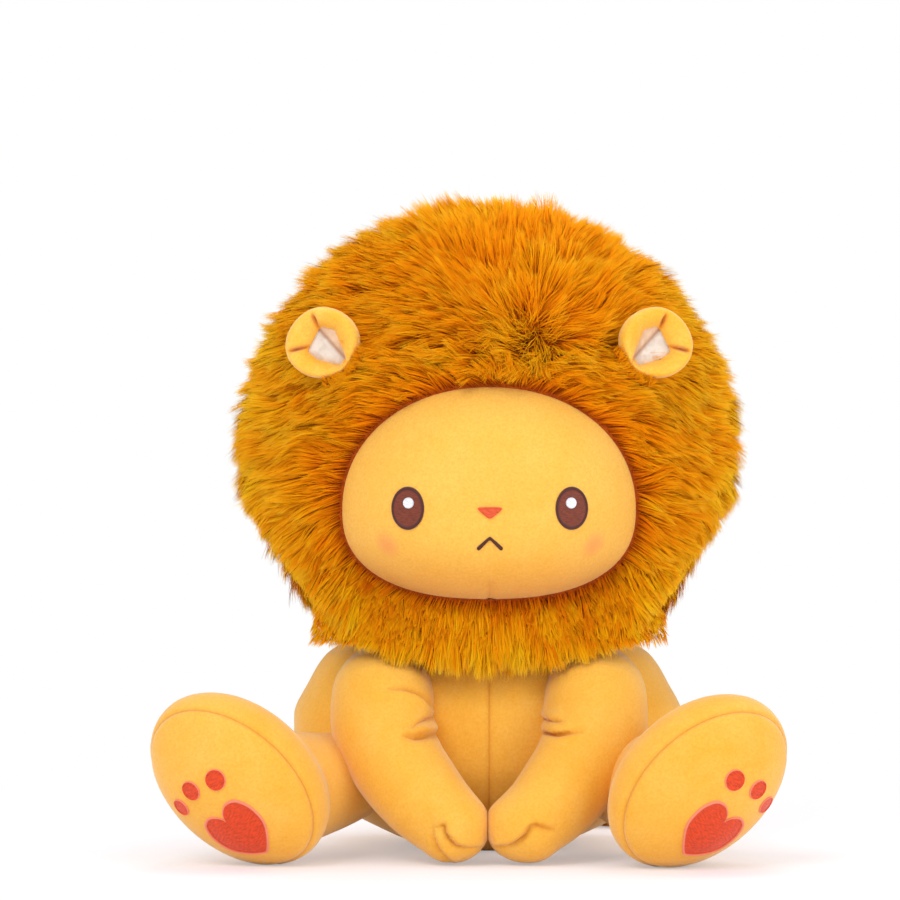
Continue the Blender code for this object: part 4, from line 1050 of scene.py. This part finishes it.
reach = 0.036 * fringe.uniform(0.75, 1.15, many) * (1 + 0.18 * waves(spots, 0.014, 44))
line = np.zeros((many, 4, 3))
line[:, 0] = spots
for step, (forward, fall) in enumerate(((0.95, 0.7), (0.45, 1.0), (0.12, 1.0)), start=1):
    way = unit(np.stack([lean, np.full(many, -forward), np.full(many, -fall)], axis=-1))
    line[:, step] = outside_body(line[:, step - 1] + way * (reach / 3)[:, None])
for spacing, pull, stray, seed in ((0.016, 0.55, 0.0026, 45), (0.0075, 0.42, 0.0012, 46)):
    shift, tuft_of = clumped(spots, line[:, 3], spacing, pull, stray, seed)
    line += shift[:, None, :] * np.array((0.0, 0.12, 0.50, 1.0))[:, None]
for step in range(1, 4):
    line[:, step] = outside_body(line[:, step])
line = trimmed(line, 0.004 * waves(spots, 0.010, 47) + fringe.uniform(0, 0.008, many))
# Painted shade: fringe strands rooted next to the face seam are given a deeper tone.
tone = (0.54 + 0.24 * waves(spots, 0.016, 48) + 0.14 * fringe.normal(size=many)[tuft_of]
        + fringe.normal(scale=0.12, size=many) - 0.12 * (down < 0.12))
strands("mane_fringe", line, spots_out, toward_light(spots_out), 0.00062 * fringe.uniform(0.7, 1.25, many),
        np.clip(tone, 0.02, 0.98), fringe.normal(scale=0.9, size=many), mane_fibre, "head")


# Ears
# Each ear is a stuffed velour roll, folded over in three flaps round a small satin lining.
# It is set into the pile at the top of the head, and its lower edge is lost in the mane.

EAR_PIVOT, EAR_HALF = np.array((0.123885, -0.10381, 0.400316)), 0.031
EAR_SHIFT = (-0.0008, -0.0010)


EAR_RIM = ((-5, 31.2), (34, 28.4), (65, 28.2), (83, 28.9), (103, 28.3), (125, 28.8), (149, 30.0), (172, 31.2),
           (188, 30.4), (214, 29.0), (233, 29.6), (257, 28.6), (280, 28.9), (310, 29.8), (333, 31.2))
EAR_OPENING = ((-9.3, 10.0), (0.6, 12.8), (4.2, 10.0), (13.1, -7.1), (4.9, -13.5), (-14.5, -18.0), (-19.0, -11.8))
EAR_CREASES = ((74, 22.5), (-15, 26.5), (215, 24.0))


def ear_edges(turn):
    """The flaps' inner edge round the opening and the ear's outer edge, as distances from the middle."""
    corners = np.array(EAR_OPENING + EAR_OPENING[:1])
    dense = np.concatenate([a + (b - a) * np.linspace(0, 1, 40, endpoint=False)[:, None]
                            for a, b in zip(corners[:-1], corners[1:])])
    angle, way = np.arctan2(dense[:, 1], dense[:, 0]), np.hypot(dense[:, 0], dense[:, 1])
    order = np.argsort(angle)
    inner = np.interp(turn, angle[order], way[order], period=2 * math.pi)
    weights = np.exp(-(np.arange(-9, 10) / 5.0) ** 2)
    inner = np.convolve(np.tile(inner, 3), weights / weights.sum(), "same")[len(turn):2 * len(turn)]
    rim = np.array(EAR_RIM)
    outer = np.interp(turn, np.radians(rim[:, 0]), rim[:, 1], period=2 * math.pi)
    weights = np.exp(-(np.arange(-24, 25) / 14.0) ** 2)
    outer = np.convolve(np.tile(outer, 3), weights / weights.sum(), "same")[len(turn):2 * len(turn)]
    return inner / 1000, outer / 1000


def satin_finish():
    """Woven satin lining: cream where it faces the light, with painted shade that makes the turned-under half tan and
    its fold brown.
    """
    satin = Finish("ear_satin", 0.38, sheen=0.2)
    place = satin.mark("cut")
    soft = satin.noise(place, 110.0, 2.0, 0.5, 0.5)
    shaded = satin.ramp(soft, [(0.35, dye(214, 176, 140)), (0.65, dye(228, 196, 164))])
    facing = satin.ramp(soft, [(0.35, dye(212, 200, 186)), (0.65, dye(232, 223, 212))])
    colour = satin.mix(satin.mark("panel", "Fac"), shaded, facing)
    colour = satin.mix(satin.sum("MULTIPLY", satin.mark("crease", "Fac"), 0.7), colour, dye(166, 108, 62))
    return satin.end(colour, satin.bump(satin.noise(place, 240.0, 2.0), 0.3, 0.0012))


ear_velour, ear_satin = velour("ear_velour", pale=(253, 205, 94), deep=(250, 182, 44)), satin_finish()
for word, side in (("left", -1), ("right", 1)):
    toward = np.array((side * math.sin(math.radians(15)), -math.cos(math.radians(15)), 0))
    across, up = np.array((side * math.cos(math.radians(15)), math.sin(math.radians(15)), 0)), np.array((0, 0, 1))
    tip = np.array((side * math.sin(math.radians(42)), 0, math.cos(math.radians(42))))
    middle = (EAR_PIVOT * (side, 1, 1) + unit(tip - toward * tip.dot(toward)) * (EAR_HALF / 2)
              + across * EAR_SHIFT[0] + up * EAR_SHIFT[1])
    turn = np.linspace(0, 2 * math.pi, 360, endpoint=False)
    inner, outer = ear_edges(turn)
    around = np.linspace(0, 2 * math.pi, 64, endpoint=False)
    c, rise = np.cos(around), np.sin(around)
    rows = []
    for a, hole, rim in zip(turn, inner, outer):
        way = (rim + hole) / 2 + np.sign(c) * np.abs(c) ** 0.8 * (rim - hole) / 2
        outward = np.clip((way - hole) / (rim - hole), 0, 1)
        height = np.where(rise > 0, rise * (0.0030 + 0.0095 * outward ** 0.8), rise * 0.0070)
        for crease, length in EAR_CREASES:
            off = abs(math.remainder(a - math.radians(crease), 2 * math.pi)) * way
            within = 1 / (1 + np.exp((way - length / 1000) / 0.0012))
            height = height * (1 - 0.85 * np.exp(-(off / 0.0015) ** 2) * within
                               + 0.10 * np.exp(-((off - 0.0050) / 0.0030) ** 2) * within)
        rows.append(middle + way[:, None] * (across * math.cos(a) + up * math.sin(a)) + height[:, None] * toward)
    table = np.array(rows)
    index = np.arange(table.shape[0] * table.shape[1]).reshape(table.shape[:2])
    after, beside = np.roll(index, -1, axis=0), np.roll(index, -1, axis=1)
    faces = np.stack([index, beside, np.roll(after, -1, axis=1), after], axis=-1).reshape(-1, 4)
    back = np.array([middle - toward * (0.0066 - 0.003 * share)
                     + (np.cos(turn)[:, None] * across + np.sin(turn)[:, None] * up) * 0.026 * share
                     for share in (0.0, 0.3, 0.6, 0.85, 1.0)])
    points = np.concatenate([table.reshape(-1, 3), back.reshape(-1, 3)])
    faces = np.concatenate([faces, rows_joined(*back.shape[:2]) + table.shape[0] * table.shape[1]])
    ear = cut_cloth(f"ear_roll_{word}", points, faces, ear_velour)
    spots = points_of(ear) - middle
    angle, way, ahead = np.arctan2(spots @ up, spots @ across), np.hypot(spots @ across, spots @ up), spots @ toward
    # Painted shade: the flaps' creases and the slope down into the opening are marked for the velour to darken there.
    crease_shade = np.zeros(len(spots))
    for crease, length in EAR_CREASES:
        off = np.abs(np.remainder(angle - math.radians(crease) + math.pi, 2 * math.pi) - math.pi) * way
        crease_shade = np.maximum(crease_shade, np.exp(-(off / 0.0016) ** 2) / (1 + np.exp((way - length / 1000) / 0.0012)))
    lip = np.clip(1 - (way - np.interp(angle, turn, inner, period=2 * math.pi)) / 0.008, 0, 1)
    shade_in(ear, np.where(ahead > -0.002, np.maximum(crease_shade, 0.28 * lip ** 1.5), 0))
    fasten(ear, f"ear_{word}", (f"ear_{word}",))
    top, low = np.array((0.0030, 0.0115)), np.array((-0.0200, -0.0130))
    fold = (low - top) / np.linalg.norm(low - top)
    # Painted shadow on the satin below this line.
    shadow_from, shadow_to = np.array((0.0092, -0.0064)), np.array((-0.0122, -0.0143))
    shadow_way = (shadow_to - shadow_from) / np.linalg.norm(shadow_to - shadow_from)
    shares = np.linspace(0, 1, 40)[:, None] * 0.0255
    flat = np.stack([shares * np.cos(turn), shares * np.sin(turn)], axis=-1)
    over = -(fold[0] * (flat[..., 1] - top[1]) - fold[1] * (flat[..., 0] - top[0]))
    step = 1 / (1 + np.exp(over / 0.0005))
    rows = middle + flat[..., :1] * across + flat[..., 1:] * up + (-0.0016 + 0.0020 * (1 - step))[..., None] * toward
    lining = cut_cloth(f"ear_satin_{word}", rows.reshape(-1, 3), rows_joined(40, len(turn)), ear_satin)
    spots = points_of(lining) - middle
    flat = np.stack([spots @ across, spots @ up], axis=-1)
    over = -(fold[0] * (flat[:, 1] - top[1]) - fold[1] * (flat[:, 0] - top[0]))
    below = shadow_way[0] * (flat[:, 1] - shadow_from[1]) - shadow_way[1] * (flat[:, 0] - shadow_from[0])
    # Painted shade: the panel mark is low on the turned-under half, which takes the tan colour, and is lowered under
    # the painted shadow line.
    shade_in(lining, (1 - 0.55 * np.clip(below / 0.003, 0, 1)) / (1 + np.exp(over / 0.0005)), "panel")
    # Painted shade in the satin's fold.
    shade_in(lining, np.exp(-((over + 0.0012) / 0.0017) ** 2))
    fasten(lining, f"ear_{word}", (f"ear_lining_{word}",))
    tufts = np.random.default_rng(51)
    many = 1500
    angle, way = np.radians(tufts.uniform(192, 262, many)), tufts.uniform(0.0285, 0.0365, many)
    radial = np.cos(angle)[:, None] * across + np.sin(angle)[:, None] * up
    spots = middle + radial * way[:, None] + tufts.uniform(-0.006, 0.003, many)[:, None] * toward
    reach, drift = (tufts.uniform(0.006, 0.012, many)[:, None],
                    tufts.normal(scale=0.5, size=many)[:, None] * np.cross(toward, radial))
    line = np.zeros((many, 4, 3))
    line[:, 0] = spots
    for step, (inward, forward) in enumerate(((0.1, 1.0), (0.5, 0.9), (0.9, 0.4)), start=1):
        line[:, step] = line[:, step - 1] + unit(toward * forward - radial * inward + drift) * reach / 3
    strands(f"ear_base_pile_{word}", line, np.tile(toward, (many, 1)), toward_light(np.tile(toward, (many, 1))),
            0.00058 * tufts.uniform(0.7, 1.25, many),
            np.clip(0.14 + tufts.normal(scale=0.14, size=many), 0.02, 0.98), tufts.normal(scale=0.9, size=many),
            mane_fibre, "head")


# Tail
# A thin stuffed velour tube sewn low on the back, which lies on the floor to the toy's right.
# It ends in a tuft of the mane's pile.

TAIL_STATIONS = ((0.0, 0.55, 1.10), (0.0, 0.80, 0.90), (0.10, 0.96, 0.50), (0.45, 1.00, 0.10), (1.0, 1.0, 0.0))
stations = [(np.array((0.085 * sweep, 0.146 * reach_out, 0.0155 + 0.0185 * lift)), 0.009)
            for sweep, reach_out, lift in TAIL_STATIONS]
rows = stuffed_tube(stations, around=48, ends=8)
tail = cut_cloth("tail_cover", rows.reshape(-1, 3), rows_joined(*rows.shape[:2]), velour("tail_velour"))
fasten(tail, "tail", ("tail",))
end = stations[-1][0]
tuft_middle = np.array((end[0] + 0.034, end[1], 0.0195))
chance = np.random.default_rng(31)
ways = unit(chance.normal(size=(9000, 3)))
tuft_core = np.array((0.018, 0.009, 0.009))
tuft_roots = tuft_middle - (0.006, 0, 0) + ways * tuft_core
tuft_out = unit(ways / tuft_core)
tuft_flow = laid_along(np.tile((1.0, 0.0, -0.15), (len(ways), 1)), tuft_out)
line = np.zeros((len(ways), 4, 3))
line[:, 0] = tuft_roots
tuft_length = 0.022 * chance.uniform(0.7, 1.1, len(ways))
for step in range(1, 4):
    tilt = math.radians(30) + math.radians(50) * (step - 0.5) / 3
    line[:, step] = (line[:, step - 1]
                     + (tuft_length / 3)[:, None] * (tuft_out * math.cos(tilt) + tuft_flow * math.sin(tilt)))
shift, _ = clumped(tuft_roots, line[:, 3], 0.05, 0.5, 0.001, 33)
line += shift[:, None, :] * np.array((0.0, 0.12, 0.50, 1.0))[:, None]
line[..., 2] = np.maximum(line[..., 2], 0.0006)
strands("tail_tuft_pile", line, tuft_out, tuft_out, np.full(len(ways), 0.0008),
        np.clip(0.45 + chance.normal(scale=0.15, size=len(ways)), 0.02, 0.98),
        chance.normal(scale=0.9, size=len(ways)), mane_fibre, "tail")
rows = []
turn = np.linspace(0, 2 * math.pi, 40, endpoint=False)
for share in np.linspace(0, 1, 24):
    x, size = math.cos(math.pi * (1 - share)), math.sin(math.pi * share)
    ring = tuft_middle - np.array((0.006, 0, 0)) + np.array((x, 0, 0)) * tuft_core[0]
    rows.append(ring + size * (np.cos(turn)[:, None] * np.array((0, 1, 0))
                               + np.sin(turn)[:, None] * np.array((0, 0, 1))) * tuft_core[1])
table = np.array(rows)
core = cut_cloth("tail_tuft_core", table.reshape(-1, 3), rows_joined(*table.shape[:2]), backing_finish())
fasten(core, "tail", ("tail_tuft",))


# Studio
# A white table top that fades into a white background, lit softly from the front left,
# with a weaker light from the right and a little from all round.

FLOOR_REACH = 9.0
floor_mesh = bpy.data.meshes.new("studio_floor")
corners = [(-FLOOR_REACH, -FLOOR_REACH, 0), (FLOOR_REACH, -FLOOR_REACH, 0), (FLOOR_REACH, FLOOR_REACH, 0),
           (-FLOOR_REACH, FLOOR_REACH, 0)]
floor_mesh.from_pydata(corners, [], [(0, 1, 2, 3)])
floor = bpy.data.objects.new("studio_floor", floor_mesh)
bpy.context.scene.collection.objects.link(floor)
paper = bpy.data.materials.new("white_paper")
paper.use_nodes = True
nodes, links = paper.node_tree.nodes, paper.node_tree.links
matt = nodes["Principled BSDF"]
matt.inputs["Base Color"].default_value = (0.97, 0.945, 1.0, 1)
matt.inputs["Roughness"].default_value = 0.9
glow = nodes.new("ShaderNodeEmission")
glow.inputs["Color"].default_value = (1, 1, 1, 1)
seen = nodes.new("ShaderNodeLightPath")
first, second = nodes.new("ShaderNodeMath"), nodes.new("ShaderNodeMath")
links.new(seen.outputs["Is Camera Ray"], first.inputs[0])
links.new(seen.outputs["Is Glossy Ray"], first.inputs[1])
links.new(first.outputs[0], second.inputs[0])
links.new(seen.outputs["Is Transmission Ray"], second.inputs[1])
second.use_clamp = True
ground = nodes.new("ShaderNodeTexCoord")
away = nodes.new("ShaderNodeVectorMath")
away.operation = "LENGTH"
links.new(ground.outputs["Object"], away.inputs[0])
fade = nodes.new("ShaderNodeMapRange")
for key, value in (("From Min", 0.30), ("From Max", 0.70), ("To Min", 0.36), ("To Max", 1.0)):
    fade.inputs[key].default_value = value
links.new(away.outputs["Value"], fade.inputs["Value"])
share = nodes.new("ShaderNodeMath")
share.operation = "MULTIPLY"
links.new(fade.outputs[0], share.inputs[0])
links.new(second.outputs[0], share.inputs[1])
both = nodes.new("ShaderNodeMixShader")
links.new(share.outputs[0], both.inputs[0])
links.new(matt.outputs[0], both.inputs[1])
links.new(glow.outputs[0], both.inputs[2])
links.new(both.outputs[0], nodes["Material Output"].inputs["Surface"])
floor_mesh.materials.append(paper)

world = bpy.context.scene.world or bpy.data.worlds.new("studio")
bpy.context.scene.world = world
world.use_nodes = True
nodes, links = world.node_tree.nodes, world.node_tree.links
sky = nodes["Background"]
seen = nodes.new("ShaderNodeLightPath")
first, second = nodes.new("ShaderNodeMath"), nodes.new("ShaderNodeMath")
links.new(seen.outputs["Is Camera Ray"], first.inputs[0])
links.new(seen.outputs["Is Glossy Ray"], first.inputs[1])
links.new(first.outputs[0], second.inputs[0])
links.new(seen.outputs["Is Transmission Ray"], second.inputs[1])
second.use_clamp = True
level = nodes.new("ShaderNodeMapRange")
for key, value in (("From Min", 0.0), ("From Max", 1.0), ("To Min", 0.76), ("To Max", 1.0)):
    level.inputs[key].default_value = value
links.new(second.outputs[0], level.inputs["Value"])
links.new(level.outputs[0], sky.inputs["Strength"])
sky.inputs["Color"].default_value = (1, 1, 1, 1)

for name, place, size, power, colour in (
        ("key", (-1.2, -2.2, 2.3), 1.7, 31.0, (1.0, 0.995, 0.985)),
        ("fill", (1.9, -1.8, 1.0), 1.8, 15.5, (1.0, 0.995, 0.985)),
        ("top", (0.2, 0.6, 2.4), 1.4, 17.0, (1.0, 0.995, 0.985))):
    lamp = bpy.data.lights.new(name, "AREA")
    lamp.shape, lamp.size, lamp.energy, lamp.color = "DISK", size, power, colour
    light = bpy.data.objects.new(name, lamp)
    light.location = place
    light.rotation_euler = (Vector((0, 0, 0.26)) - Vector(place)).to_track_quat("-Z", "Y").to_euler()
    bpy.context.scene.collection.objects.link(light)

lens = bpy.data.cameras.new("camera")
lens.sensor_width, lens.lens = 36.0, 154.8
lens.clip_end = 60.0
camera = bpy.data.objects.new("camera", lens)
camera.location = (-0.0314, -3.2, 0.325)
camera.rotation_euler = (math.radians(90), 0, 0)
bpy.context.scene.collection.objects.link(camera)
bpy.context.scene.camera = camera
bpy.context.scene.view_settings.view_transform = "Standard"
